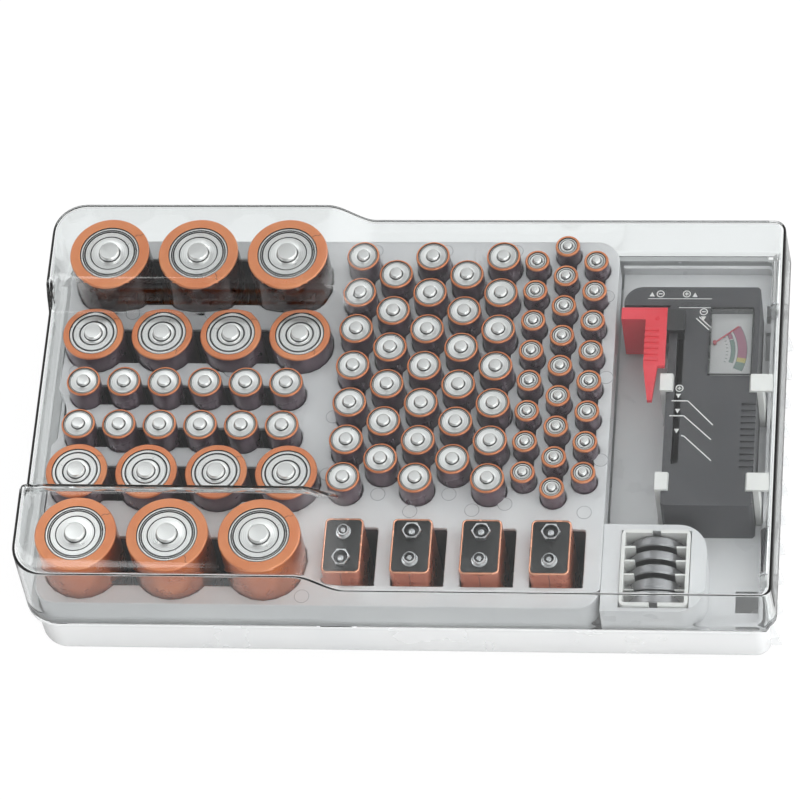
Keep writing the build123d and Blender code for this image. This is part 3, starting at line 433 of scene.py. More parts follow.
# %% Lid sizes
LID_LOW, LID_HIGH, LID_WALL = 55.0, 66.5, 1.6
LID_EDGE, LID_DRAFT = 3.0, 1.0
SEAM_Z, HINGE_Z, BARREL_R = 24.8, 28.0, 4.0
LID_CORNER, HINGE_CORNER = 15.0, 6.0
low_corner, high_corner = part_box("lid")
LID_LEFT, LID_RIGHT = low_corner.x / MM, high_corner.x / MM
LID_HALF = high_corner.y / MM
HINGE_X = LID_RIGHT - BARREL_R
BLOCK_END, BLOCK_STEP = -38.5, 20.0
REAR_BLOCK, REAR_SPREAD = 50.5, 8.0
FRONT_BLOCK, FRONT_SPREAD = -49.0, 5.0
print("lid spans x", round(LID_LEFT, 1), "to", round(LID_RIGHT, 1), "and y to", round(LID_HALF, 1))


def eased(t):
    """0 to 1 with level ends."""
    t = min(max(t, 0.0), 1.0)
    return (1 - math.cos(math.pi * t)) / 2


def roof_height(x, y):
    """The roof's height: low in the middle and at the hinge end, high over the two blocks."""
    along = 1 - eased((x - BLOCK_END) / BLOCK_STEP)
    rear = eased((y - REAR_BLOCK + REAR_SPREAD) / REAR_SPREAD)
    front = eased((FRONT_BLOCK + FRONT_SPREAD - y) / FRONT_SPREAD)
    return LID_LOW + (LID_HIGH - LID_LOW) * along * max(rear, front)


# %% Lid shell
ROOF_INSET = LID_DRAFT + LID_EDGE
FRONT_ROWS, FINE_ROW, STEP_MARGIN = -60.0, 0.7, 2
EDGE_RINGS, WALL_RINGS = 7, 6
LID_CREASE = 60.0


def spread(low, high, step):
    """Even stations from low up to, but without, high."""
    count = max(1, round((high - low) / step))
    return [low + (high - low) * i / count for i in range(count)]


def roof_grid():
    """The roof's x stations, and for each the half width there, inside the rounded edge."""
    x0, x1 = LID_LEFT + ROOF_INSET, LID_RIGHT - ROOF_INSET
    half = LID_HALF - ROOF_INSET
    left_r, right_r = LID_CORNER - ROOF_INSET, HINGE_CORNER - ROOF_INSET
    stations = [x0 + left_r * (1 - math.cos(math.pi / 2 * i / 10)) for i in range(10)]
    stations += spread(x0 + left_r, BLOCK_END, 6) + spread(BLOCK_END, BLOCK_END + BLOCK_STEP, 1)
    stations += spread(BLOCK_END + BLOCK_STEP, x1 - right_r, 8)
    stations += [x1 - right_r + right_r * math.sin(math.pi / 2 * i / 5) for i in range(6)]
    widths = []
    for x in stations:
        depth = max(x0 + left_r - x, 0) if x < x0 + left_r else max(x - x1 + right_r, 0)
        radius = left_r if x < x0 + left_r else right_r
        widths.append(half - radius + math.sqrt(max(radius ** 2 - depth ** 2, 0)) if depth else half)
    return stations, widths


def wall_normal(x, y):
    """The way out of the plan at a point on the roof's border."""
    x0, x1 = LID_LEFT + LID_CORNER, LID_RIGHT - HINGE_CORNER
    corner = LID_CORNER if x < x0 else HINGE_CORNER
    dx = min(x - x0, 0) + max(x - x1, 0)
    reach = LID_HALF - corner
    dy = math.copysign(max(abs(y) - reach, 0), y) if dx else math.copysign(1, y)
    if abs(y) < reach:
        return Vector((math.copysign(1, dx), 0))
    return Vector((dx, dy)).normalized()


def lid_sheet():
    """The outer skin: the roof's grid, then rings round its border down to the rim."""
    stations, widths = roof_grid()
    front_start, front_end = FRONT_BLOCK - STEP_MARGIN, FRONT_BLOCK + FRONT_SPREAD + STEP_MARGIN
    rear_start, rear_end = REAR_BLOCK - REAR_SPREAD - STEP_MARGIN, REAR_BLOCK + STEP_MARGIN
    rows = spread(-LID_HALF, FRONT_ROWS, 4) + spread(FRONT_ROWS, front_start, 3)
    rows += spread(front_start, front_end, FINE_ROW) + spread(front_end, rear_start, 8)
    rows += spread(rear_start, rear_end, FINE_ROW) + spread(rear_end, LID_HALF, 4) + [LID_HALF]
    shares = [y / LID_HALF for y in rows]
    across = len(shares)
    points, faces = [], []
    for x, half in zip(stations, widths):
        for share in shares:
            y = share * half
            points.append((x, y, roof_height(x, y)))
    for i in range(len(stations) - 1):
        for j in range(across - 1):
            a = i * across + j
            faces.append((a, a + across, a + across + 1, a + 1))
    last = (len(stations) - 1) * across
    border = [i * across for i in range(len(stations))]
    border += [last + j for j in range(1, across)]
    border += [i * across + across - 1 for i in range(len(stations) - 2, -1, -1)]
    border += [j for j in range(across - 2, 0, -1)]
    ring = border
    edge_points = [points[k] for k in border]
    for level in range(1, EDGE_RINGS + WALL_RINGS + 1):
        fresh = []
        for x, y, top in edge_points:
            out = wall_normal(x, y)
            rim = HINGE_Z if x + out.x * ROOF_INSET > HINGE_X else SEAM_Z
            if level <= EDGE_RINGS:
                angle = math.radians(90 - 90 * level / EDGE_RINGS)
                step, z = LID_EDGE * math.cos(angle), top - LID_EDGE + LID_EDGE * math.sin(angle)
            else:
                share = (level - EDGE_RINGS) / WALL_RINGS
                step = LID_EDGE + LID_DRAFT * share
                z = top - LID_EDGE + (rim - top + LID_EDGE) * share
            fresh.append(len(points))
            points.append((x + out.x * step, y + out.y * step, z))
        count = len(ring)
        for k in range(count):
            m = (k + 1) % count
            faces.append((ring[m], ring[k], fresh[k], fresh[m]))
        ring = fresh
    return points, faces


def thicken(piece, wall):
    """Adds the inner skin of a sheet, the wall's thickness inside it, and keeps the result."""
    modifier = piece.modifiers.new("wall", "SOLIDIFY")
    modifier.thickness = wall * MM
    modifier.offset = -1.0
    solid = evaluated_mesh(piece)
    piece.modifiers.clear()
    piece.data = solid


sheet_points, sheet_faces = lid_sheet()
lid_shell = make_piece("lid_shell", sheet_points, sheet_faces, "lid", [clear],
                       crease=LID_CREASE, stands_for=("lid",))
thicken(lid_shell, LID_WALL)
print("lid shell faces:", len(lid_shell.data.polygons))

# %% [markdown]
# The hinge edge of the lid is rolled round the hinge axis, and two full barrels on it take
# the pins. Both are one outline drawn across the axis and drawn out along it.

# %% Lid hinge
PIN_BORE, ROLL_WALL, BARREL_EDGE = 1.3, 1.5, 0.4
KNUCKLE_LENGTH, KNUCKLE_CENTRES = 22.0, (73.3, -57.0)
EAR_SPACE = 3.4


def arc_xz(radius, start, end, steps):
    """Points of an arc round the hinge axis, as (x, z)."""
    return [(HINGE_X + radius * math.cos(math.radians(start + (end - start) * i / steps)),
             HINGE_Z + radius * math.sin(math.radians(start + (end - start) * i / steps)))
            for i in range(steps + 1)]


def drawn_out(outline, y0, y1, edge=0.3, shrink=0.06):
    """An (x, z) outline drawn from y0 to y1, with softened ends."""
    middle_x = sum(x for x, _ in outline) / len(outline)
    middle_z = sum(z for _, z in outline) / len(outline)
    loops = []
    for y, pull in ((y0, 1), (y0 + edge, 0), (y1 - edge, 0), (y1, 1)):
        share = 1 - shrink * pull
        loops.append([(middle_x + (x - middle_x) * share, y, middle_z + (z - middle_z) * share)
                      for x, z in outline])
    return skin(loops)


def lid_roll(name, y0, y1):
    """A stretch of the lid's edge that is rolled a quarter round the axis."""
    outline = arc_xz(BARREL_R, 0, -90, 10) + arc_xz(BARREL_R - ROLL_WALL, -90, 0, 10)
    points, faces = drawn_out(outline, y0, y1, 0.1)
    return make_piece(name, points, faces, "lid", [clear])


def knuckle(name, centre):
    """A barrel with its bore: outer and inner rings joined at both ends."""
    y0, y1 = centre - KNUCKLE_LENGTH / 2, centre + KNUCKLE_LENGTH / 2
    loops = []
    for radius, y in ((PIN_BORE, y0), (BARREL_R - BARREL_EDGE, y0), (BARREL_R, y0 + BARREL_EDGE),
                      (BARREL_R, y1 - BARREL_EDGE), (BARREL_R - BARREL_EDGE, y1), (PIN_BORE, y1),
                      (PIN_BORE, y0)):
        loops.append([(x, y, z) for x, z in arc_xz(radius, 0, 350, 35)])
    points, faces = skin(loops, False, False)
    return make_piece(name, points, faces, "lid", [clear])


stops = [-LID_HALF + HINGE_CORNER]
for centre in sorted(KNUCKLE_CENTRES):
    stops += [centre - KNUCKLE_LENGTH / 2 - EAR_SPACE, centre + KNUCKLE_LENGTH / 2 + EAR_SPACE]
stops.append(LID_HALF - HINGE_CORNER)
for k in range(0, len(stops), 2):
    lid_roll(f"lid_roll_{k // 2 + 1}", stops[k], stops[k + 1])
for k, centre in enumerate(KNUCKLE_CENTRES):
    knuckle(f"lid_knuckle_{k + 1}", centre)
print("rolled stretches:", len(stops) // 2, "barrels:", len(KNUCKLE_CENTRES))

# %% [markdown]
# ## Base tray
# A frosted tray with an even wall, soft corners inside and out, a ledge that carries the
# lid, and a row of gussets at the hinge end. The tray is a stack of rounded outlines; the
# gussets and hinge ears are outlines drawn along the hinge.

# %% Base tray
CASE_LEFT, BASE_INSET, BASE_INSET_END, BASE_WALL, BASE_FLOOR = LID_LEFT, 2.0, 3.5, 1.5, 2.0
BASE_LEFT, BASE_RIGHT = CASE_LEFT + BASE_INSET_END, HINGE_X + 0.5
BASE_HALF, BASE_CORNER = LID_HALF - BASE_INSET, 12.0
BASE_END_TOP, FLANGE_TOP, FLANGE_THICK, FLANGE_RIGHT = 23.6, 24.5, 2.3, HINGE_X - 6.0
LEDGE_STEPS, SQUARE_END = 12, 0.01
EAR_R, EAR_THICK, HINGE_GAP = 3.6, 2.6, 0.4
GUSSET_COUNT, GUSSET_STEP, GUSSET_REAR, GUSSET_THICK, GUSSET_TIP = 11, 14.2, 59.0, 1.6, LID_RIGHT + 0.7


def base_level(inset, z):
    """One level of the tray, this far inside its outer wall."""
    return rounded_box_loop(BASE_LEFT + inset, BASE_RIGHT - inset, -BASE_HALF + inset, BASE_HALF - inset,
                            BASE_CORNER - inset, z, 10, HINGE_CORNER - inset)


tray_levels = ((2.0, 0.0), (1.1, 0.25), (0.35, 0.9), (0.0, 2.0), (0.0, BASE_END_TOP - 0.2),
               (0.2, BASE_END_TOP), (BASE_WALL - 0.2, BASE_END_TOP), (BASE_WALL, BASE_END_TOP - 0.2),
               (BASE_WALL, BASE_FLOOR + 1.5), (BASE_WALL + 0.4, BASE_FLOOR + 0.5),
               (BASE_WALL + 1.5, BASE_FLOOR))
points, faces = skin([base_level(inset, z) for inset, z in tray_levels])
make_piece("base_shell", points, faces, "root", [frosted], stands_for=("base_tray",))


def ledge_outline():
    """A U in plan: the lid's outline outside, the tray's wall inside, open at the hinge end."""
    outer = rounded_box_loop(CASE_LEFT, FLANGE_RIGHT, -LID_HALF, LID_HALF, LID_CORNER, 0.0,
                             LEDGE_STEPS, SQUARE_END)
    inner = rounded_box_loop(BASE_LEFT + BASE_WALL, FLANGE_RIGHT, -BASE_HALF + BASE_WALL,
                             BASE_HALF - BASE_WALL, BASE_CORNER - BASE_WALL, 0.0, LEDGE_STEPS,
                             SQUARE_END)
    per_corner = LEDGE_STEPS + 1
    u_outer = [outer[0]] + outer[per_corner:3 * per_corner] + [outer[-1]]
    u_inner = [inner[0]] + inner[per_corner:3 * per_corner] + [inner[-1]]
    return [(x, y) for x, y, _ in u_outer + u_inner[::-1]]


filled_plate("base_ledge", [ledge_outline()], FLANGE_TOP - FLANGE_THICK, FLANGE_TOP, 0.4, "root",
             frosted)
gusset_outline = [(BASE_RIGHT - BASE_WALL / 2, 2.0), (BASE_RIGHT, 0.1), (GUSSET_TIP - 0.1, 0.1),
               (GUSSET_TIP - 0.1, 1.5), (BASE_RIGHT + 1.0, 21.0), (BASE_RIGHT - BASE_WALL / 2, 21.0)]
for k in range(GUSSET_COUNT):
    y = GUSSET_REAR - k * GUSSET_STEP
    points, faces = drawn_out(gusset_outline, y - GUSSET_THICK / 2, y + GUSSET_THICK / 2, 0.3, 0.02)
    make_piece(f"base_gusset_{k + 1}", points, faces, "root", [frosted])
ear_outline = [(HINGE_X - EAR_R, BASE_END_TOP), (HINGE_X - EAR_R, HINGE_Z)] + arc_xz(EAR_R, 174, -82, 24)
ear_outline += [(BASE_RIGHT, BASE_END_TOP - 4.0), (BASE_RIGHT - BASE_WALL, BASE_END_TOP - 4.0),
                (BASE_RIGHT - BASE_WALL, BASE_END_TOP)]
for k, centre in enumerate(KNUCKLE_CENTRES):
    for side in (-1, 1):
        near = centre + side * (KNUCKLE_LENGTH / 2 + HINGE_GAP)
        low, high = sorted((near, near + side * EAR_THICK))
        points, faces = drawn_out(ear_outline, low, high, 0.2, 0.03)
        make_piece(f"hinge_ear_{k + 1}_{'rear' if side > 0 else 'front'}", points, faces, "root",
                   [frosted])
print("gussets:", GUSSET_COUNT, "ears:", 2 * len(KNUCKLE_CENTRES))

# %% [markdown]
# ## Deck
# The deck is a plate with a scalloped trough for each row of cells. A filled flat curve
# with holes is the natural way: each trough is one closed line of arcs and short necks,
# and the curve's own bevel rounds every edge. A thin pocket with a floor hangs below each
# trough, drawn from the same line, in a much darker grey that is painted shade.

# %% Deck sizes and cell places
DECK_TOP, DECK_PLATE = 40.0, 2.0
deck_low, deck_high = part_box("cell_deck")
DECK_X = (deck_low.x / MM, deck_high.x / MM)
DECK_Y = (deck_low.y / MM, deck_high.y / MM)
POCKET_FOOT = deck_low.z / MM
SKIRT_FOOT, DECK_CORNER = 24.5, 10.0
NOTCH_CHORD, NOTCH_DEPTH, NOTCH_Y, NOTCH_FLOOR = 28.0, 4.8, -1.0, 31.0
CELL_CLEARANCE, NECK_SHARE, POCKET_WALL = 0.35, 0.62, 0.9
POCKET_FLOOR, FLOOR_REACH, PLATE_OVERLAP, AAA_SEAT = 0.8, 0.4, 0.3, 3.0
D_SIZE, C_SIZE, AA_SIZE, AAA_SIZE = (34.0, 61.5), (26.0, 50.0), (14.3, 50.5), (10.4, 44.5)


def row(first, step, count, y):
    """Places along X, at one step."""
    return [(first + i * step, y) for i in range(count)]


def staggered(x0, dx, columns, rear, dy, count, long_first):
    """Columns along Y; every other one is a cell shorter and shifted by half a step."""
    result = []
    for c in range(columns):
        is_long = (c % 2 == 0) == long_first
        start = rear if is_long else rear - dy / 2
        result.append([(x0 + c * dx, start - i * dy) for i in range(count if is_long else count - 1)])
    return result


d_rows = [row(-130.4, 38.1, 3, y) for y in (67.3, -69.3)]
c_rows = [row(-135.8, 29.4, 4, y) for y in (34.4, -32.9)]
aa_rows = [row(-137.3, 17.2, 6, y) for y in (10.2, -10.6)]
aa_rows += staggered(-23.8, 15.0, 5, 73.0, 18.05, 7, True)
aaa_rows = staggered(50.3, 12.5, 3, 79.9, 14.75, 9, False)
troughs = [(places, size) for rows, size in ((d_rows, D_SIZE), (c_rows, C_SIZE), (aa_rows, AA_SIZE),
                                             (aaa_rows, AAA_SIZE)) for places in rows]
print("troughs:", len(troughs), "cells:", sum(len(places) for places, _ in troughs))


def trough_loop(places, radius, steps=9):
    """Wells of one radius in a line, joined by necks, as one closed line of points."""
    start, end = Vector(places[0]), Vector(places[-1])
    along = (end - start).normalized()
    aside = Vector((-along.y, along.x))
    neck = math.asin(NECK_SHARE)
    loop = []
    for side in (1, -1):
        order = places if side > 0 else places[::-1]
        for i, place in enumerate(order):
            at_end = i == len(order) - 1
            first = math.pi if i == 0 else math.pi - neck
            last = 0.0 if at_end else neck
            for k in range(steps - 1 if at_end else steps):
                angle = first + (last - first) * k / (steps - 1)
                offset = side * (math.cos(angle) * along + math.sin(angle) * aside) * radius
                loop.append(tuple(Vector(place) + offset))
    return loop


# %% Deck plate
NINE_FIRST, NINE_STEP, NINE_COUNT, NINE_FRONT = -30.2, 28.6, 4, -79.0
NINE_WIDE, NINE_DEEP, NINE_TOP, NINE_SPARE = 16.6, 25.6, 48.4, 5.0
CORNER_STEPS, NOTCH_STEPS = 8, 16


def notched_outline(grow=0.0):
    """The deck's plan with its thumb notch at the free end."""
    x0, x1 = DECK_X[0] + grow, DECK_X[1] - grow
    y0, y1 = DECK_Y[0] + grow, DECK_Y[1] - grow
    loop = [(x, y) for x, y, _ in rounded_box_loop(x0, x1, y0, y1, DECK_CORNER - grow, 0.0,
                                                   CORNER_STEPS)]
    half = NOTCH_CHORD / 2
    radius = (half ** 2 + NOTCH_DEPTH ** 2) / (2 * NOTCH_DEPTH)
    centre = x0 + NOTCH_DEPTH - radius
    sweep = math.asin(half / radius)
    notch = [(centre + radius * math.cos(sweep - 2 * sweep * i / NOTCH_STEPS),
              NOTCH_Y + radius * math.sin(sweep - 2 * sweep * i / NOTCH_STEPS))
             for i in range(NOTCH_STEPS + 1)]
    left_side = 2 * (CORNER_STEPS + 1)
    return loop[:left_side] + notch + loop[left_side:]


def nine_volt_hole(i):
    """The square well of one 9 V cell, with room for a fingertip beside it."""
    x = NINE_FIRST + i * NINE_STEP
    gap = CELL_CLEARANCE
    return [(px, py) for px, py, _ in rounded_box_loop(x - gap, x + NINE_WIDE + NINE_SPARE,
                                                       NINE_FRONT - gap, NINE_FRONT + NINE_DEEP + gap,
                                                       1.2, 0.0, 3)]


deck_loops = [notched_outline()]
deck_loops += [trough_loop(places, size[0] / 2 + CELL_CLEARANCE) for places, size in troughs]
deck_loops += [nine_volt_hole(i) for i in range(NINE_COUNT)]
deck_plate = filled_plate("deck_plate", deck_loops, DECK_TOP - DECK_PLATE, DECK_TOP, 0.5, "root",
                          deck_grey, ("cell_deck",))
print("deck plate faces:", len(deck_plate.data.polygons))

# %% Pockets and skirt below the plate


def deck_wall(name, inner, outer, z0, z1, material):
    """A standing wall of the deck between two closed plan lines."""
    loops = [[(x, y, z1) for x, y in inner], [(x, y, z0) for x, y in inner],
             [(x, y, z0) for x, y in outer], [(x, y, z1) for x, y in outer],
             [(x, y, z1) for x, y in inner]]
    points, faces = skin(loops, False, False)
    return make_piece(name, points, faces, "root", [material])


# Pocket walls and floors are drawn in the wells' painted shade.
for k, (places, size) in enumerate(troughs):
    well = size[0] / 2 + CELL_CLEARANCE
    foot = POCKET_FOOT + (AAA_SEAT if size is AAA_SIZE else 0.0)
    deck_wall(f"deck_pocket_{k + 1}", trough_loop(places, well), trough_loop(places, well + POCKET_WALL),
              foot, DECK_TOP - DECK_PLATE + PLATE_OVERLAP, well_painted_shade)
    filled_plate(f"deck_pocket_floor_{k + 1}", [trough_loop(places, well + FLOOR_REACH)], foot,
                 foot + POCKET_FLOOR, 0.1, "root", well_painted_shade)
for i in range(NINE_COUNT):
    hole = nine_volt_hole(i)
    middle = Vector((sum(x for x, _ in hole), sum(y for _, y in hole))) / len(hole)
    grown = [tuple(Vector(p) + Vector((math.copysign(POCKET_WALL, p[0] - middle.x),
                                       math.copysign(POCKET_WALL, p[1] - middle.y)))) for p in hole]
    deck_wall(f"nine_volt_pocket_{i + 1}", hole, grown, POCKET_FOOT,
              DECK_TOP - DECK_PLATE + PLATE_OVERLAP, well_painted_shade)
    filled_plate(f"nine_volt_pocket_floor_{i + 1}", [hole], POCKET_FOOT, POCKET_FOOT + POCKET_FLOOR, 0.1,
                 "root", well_painted_shade)
SKIRT_INSETS = (1.6, 0.2)
deck_wall("deck_skirt_upper", notched_outline(SKIRT_INSETS[0]), notched_outline(SKIRT_INSETS[1]),
          NOTCH_FLOOR, DECK_TOP - DECK_PLATE + 2 * PLATE_OVERLAP, deck_grey)
skirt_plan = [[(x, y) for x, y, _ in rounded_box_loop(DECK_X[0] + t, DECK_X[1] - t, DECK_Y[0] + t,
                                                      DECK_Y[1] - t, DECK_CORNER - t, 0.0,
                                                      CORNER_STEPS)] for t in SKIRT_INSETS]
deck_wall("deck_skirt", skirt_plan[0], skirt_plan[1], SKIRT_FOOT, NOTCH_FLOOR, deck_grey)
print("pockets:", len(troughs) + NINE_COUNT)

# %% [markdown]
# Round pins push a moulding off its tool, and each leaves a faint ring on the plate. A
# bump could draw them, but a low ring of real faces catches the light in every view. They
# stand on the bare plate between the wells. The outer side and top of each ring are a
# darker grey, as painted shade.

# %% Ejector pin marks on the deck
PIN_R, PIN_SIDES = 3.0, 32
pin_places = ((-10.1, -37.2), (19.5, -36.9), (3.8, -45.2), (29.5, -44.4), (43.0, -41.4), (76.0, -45.0),
              (-32.2, -27.8), (-31.8, 0.0), (-143.5, 21.5), (-143.0, -21.0), (-122.0, 50.6), (-88.0, 50.6),
              (-48.0, 50.4), (-106.5, 22.2), (-77.0, 22.2), (-106.5, -21.2), (-77.0, -21.2), (-20.0, 82.5),
              (10.0, 82.5), (40.0, 82.5), (80.0, 60.0), (81.5, 20.0), (81.5, -20.0), (-38.0, -84.5))
for k, (x, y) in enumerate(pin_places):
    ring = [circle_loop(r, DECK_TOP + z, PIN_SIDES)
            for r, z in ((PIN_R + 0.18, -0.02), (PIN_R, 0.05), (PIN_R - 0.15, 0.05), (PIN_R - 0.4, 0.01))]
    points, faces = skin(ring, False, True)
    # The outer side and top of each ring take the painted shade.
    shade_indices = [1] * (2 * PIN_SIDES) + [0] * (PIN_SIDES + 1)
    make_piece(f"pin_mark_{k + 1}", [(x + px, y + py, z) for px, py, z in points], faces, "root",
               [deck_grey, pin_ring_painted_shade], shade_indices)
print("pin marks:", len(pin_places))

# %% [markdown]
# ## Round cells
# Every size is one turned form with its own steps: side, folded shoulder of the film, bare
# plated end with pressed rings, and the button. Cells of a size share one mesh, so that
# all 84 cost little. Every other one is turned three quarters round, so that the seams of
# the films don't all point one way. A quarter turn, unlike any other, leaves the box round
# a cell as tight as it was, and the dressed case measures as the CAD does.

# %% Turned profiles
# The last index marks faces painted in shade: groove floors and the foot of the button.
JACKET, BAND, METAL, SEAM, GROOVE_SHADE = range(5)
FLOOR_Z = 2.0
SIDE_AT, SHOULDER_AT, FILM_EDGE_AT = 3, 6, 7   # where these points stand in a cell's profile


def cell_profile(size, film_in, rings, button_r, button_h):
    """Side, shoulder, film edge, ring grooves and button of one cell, from the bottom up."""
    radius, height = size[0] / 2, size[1]
    shoulder = height - button_h
    metal = shoulder - 0.35
    profile = [(radius - 1.0, 0.0, METAL), (radius - 0.25, 0.3, METAL), (radius, 0.9, JACKET),
               (radius, shoulder - 5.0, JACKET), (radius, shoulder - 0.7, JACKET),
               (radius - 0.12, shoulder - 0.3, BAND), (radius - 0.45, shoulder, BAND),
               (film_in, shoulder - 0.05, BAND), (film_in - 0.04, metal - 0.25, GROOVE_SHADE),
               (film_in - 0.28, metal - 0.25, GROOVE_SHADE), (film_in - 0.45, metal, METAL)]
    for ring_r, half, depth in rings:
        profile += [(ring_r + half, metal, METAL), (ring_r + half * 0.4, metal - depth, GROOVE_SHADE),
                    (ring_r - half * 0.4, metal - depth, GROOVE_SHADE), (ring_r - half, metal, METAL)]
    profile += [(button_r + 0.4, metal, METAL), (button_r + 0.1, metal - 0.1, GROOVE_SHADE),
                (button_r + 0.05, metal + 0.3, GROOVE_SHADE),
                (button_r, height - 0.45, METAL), (button_r - 0.35, height - 0.08, METAL),
                (button_r * 0.4, height, METAL)]
    return profile


d_profile = cell_profile(D_SIZE, 12.7, ((11.4, 0.3, 0.3), (10.6, 0.35, 0.4), (8.1, 0.28, 0.3)),
                         4.2, 1.8)
c_profile = cell_profile(C_SIZE, 10.4, ((8.7, 0.4, 0.45), (5.7, 0.38, 0.4)), 3.6, 1.7)
aa_profile = cell_profile(AA_SIZE, 6.35, ((5.6, 0.14, 0.2),), 2.55, 1.3)
aaa_profile = cell_profile(AAA_SIZE, 4.15, ((3.15, 0.2, 0.3),), 1.75, 1.0)
print("profile points:", len(d_profile), len(c_profile), len(aa_profile), len(aaa_profile))

# %% Cells in their wells
FILM_SEAM, TURNED_CREASE = 0.28, 30.0
SEAM_TURN = math.radians(35)


def seam_strip(radius, film_in, height):
    """The thin dark line where the folded film meets itself, with a jog half way in."""
    top = height + 0.04
    middle = (radius + film_in) / 2
    centre_line = ((radius - 0.5, 0.0), (middle + 0.3, 0.0), (middle - 0.3, 0.9), (film_in + 0.1, 0.9))
    points, faces = [], []
    for x, y in centre_line:
        for aside in (y - FILM_SEAM / 2, y + FILM_SEAM / 2):
            points.append((x * math.cos(SEAM_TURN) - aside * math.sin(SEAM_TURN),
                           x * math.sin(SEAM_TURN) + aside * math.cos(SEAM_TURN), top))
    for k in range(len(centre_line) - 1):
        faces.append((2 * k, 2 * k + 2, 2 * k + 3, 2 * k + 1))
    return points, faces


def cell_mesh(name, profile, sides, jacket, seam):
    """One cell's mesh; the larger sizes also get the seam of their film."""
    points, faces, indices = lathe(profile, sides)
    if seam:
        radius, film_in = profile[SIDE_AT][0], profile[FILM_EDGE_AT][0]
        extra_points, extra_faces = seam_strip(radius, film_in, profile[SHOULDER_AT][1])
        start = len(points)
        points += extra_points
        faces += [tuple(start + i for i in face) for face in extra_faces]
        indices += [SEAM] * len(extra_faces)
    finishes = (jacket, copper_band, nickel, seam_dark, groove_painted_shade)
    return new_mesh(name, points, faces, finishes, indices, TURNED_CREASE)


def stand_cells(kind, mesh, rows, seat, node_name):
    """Places one mesh at every well of its rows."""
    places = [place for line in rows for place in line]
    for k, (x, y) in enumerate(places):
        turn = Matrix.Rotation(1.5 * math.pi * (k % 2), 4, "Z")
        matrix = Matrix.Translation((x * MM, y * MM, (FLOOR_Z + seat) * MM)) @ turn
        place_piece(f"{kind}_cell_{k + 1}", mesh, "root", (node_name,), matrix)
    print(kind, "cells:", len(places))


stand_cells("d_rear", cell_mesh("d_rear_cell", d_profile, 96, dark_jacket, True), d_rows[:1], 0.0,
            "d_cells")
stand_cells("d_front", cell_mesh("d_front_cell", d_profile, 96, copper_side, True), d_rows[1:], 0.0,
            "d_cells")
stand_cells("c", cell_mesh("c_cell", c_profile, 80, plum_jacket, True), c_rows, 0.0, "c_cells")
stand_cells("aa", cell_mesh("aa_cell", aa_profile, 56, plum_jacket, False), aa_rows, 0.0, "aa_cells")
stand_cells("aaa", cell_mesh("aaa_cell", aaa_profile, 44, plum_jacket, False), aaa_rows, AAA_SEAT,
            "aaa_cells")

# %% [markdown]
# ## 9 V cells
# A folded can with a rolled rim in a lighter copper that is painted highlight, a dark cap
# sunk in it, and two snaps: a round stud and a crown-shaped socket. The can's levels are
# rounded rectangles stacked into a skin.

# %% 9 V cans, caps and snaps
CAN_CORNER = 2.2


def can_levels(x, levels):
    """Stacks rounded rectangles; a level is (inset, z)."""
    return [rounded_box_loop(x + inset, x + NINE_WIDE - inset, NINE_FRONT + inset,
                             NINE_FRONT + NINE_DEEP - inset, CAN_CORNER - inset * 0.8, z)
            for inset, z in levels]


def nine_volt_cell(i):
    """The can with its rolled rim, the seam down its front and the cap sunk in it."""
    x = NINE_FIRST + i * NINE_STEP
    levels = ((0.6, 2.0), (0.0, 2.6), (0.0, NINE_TOP - 0.6), (0.12, NINE_TOP - 0.2), (0.4, NINE_TOP),
              (0.7, NINE_TOP - 0.15), (0.85, NINE_TOP - 0.6))
    points, faces = skin(can_levels(x, levels))
    per_level = (len(faces) - 2) // (len(levels) - 1)
    # The rim's faces take the lighter copper as painted highlight.
    rim = [0] * (2 * per_level) + [1] * ((len(levels) - 3) * per_level) + [0, 1]
    make_piece(f"nine_volt_can_{i + 1}", points, faces, "root", [can_film, rim_painted_highlight], rim,
               stands_for=("nine_volt_cans",))
    middle, y = x + NINE_WIDE / 2, NINE_FRONT - 0.03
    seam = [(middle - 0.15, y, 6.0), (middle + 0.15, y, 6.0), (middle + 0.15, y, NINE_TOP - 0.8),
            (middle - 0.15, y, NINE_TOP - 0.8)]
    make_piece(f"nine_volt_seam_{i + 1}", seam, [(0, 1, 2, 3)], "root", [seam_dark])
    points, faces = skin(can_levels(x, ((0.8, NINE_TOP - 1.4), (0.8, NINE_TOP - 0.5), (1.1, NINE_TOP - 0.3))))
    make_piece(f"nine_volt_cap_{i + 1}", points, faces, "root", [cap_black],
               stands_for=("nine_volt_caps",))


def hex_loop(radius, z, points_each=6):
    """A hexagon as a loop with several points on each side."""
    corners = [(radius * math.cos(math.radians(60 * k)), radius * math.sin(math.radians(60 * k)))
               for k in range(7)]
    loop = []
    for k in range(6):
        (xa, ya), (xb, yb) = corners[k], corners[k + 1]
        loop += [(xa + (xb - xa) * i / points_each, ya + (yb - ya) * i / points_each, z)
                 for i in range(points_each)]
    return loop


def socket_mesh():
    """The crown: a six-sided rim that flares at the top round a turned cup."""
    loops = [hex_loop(3.7, 0.0), hex_loop(3.8, 1.2), hex_loop(4.15, 2.0), hex_loop(4.05, 2.2),
             circle_loop(3.1, 2.15, 36), circle_loop(2.7, 1.6, 36), circle_loop(2.5, 0.5, 36),
             circle_loop(1.5, 0.45, 36), circle_loop(1.3, 0.9, 36), circle_loop(0.5, 1.0, 36)]
    points, faces = skin(loops)
    # The cup's inner wall takes the painted shade of the dark steel.
    shade_indices = [0] * (4 * 36) + [1] * (3 * 36) + [0] * (2 * 36) + [0, 0]
    return new_mesh("snap_socket", points, faces, (bright_steel, groove_painted_shade), shade_indices, TURNED_CREASE)


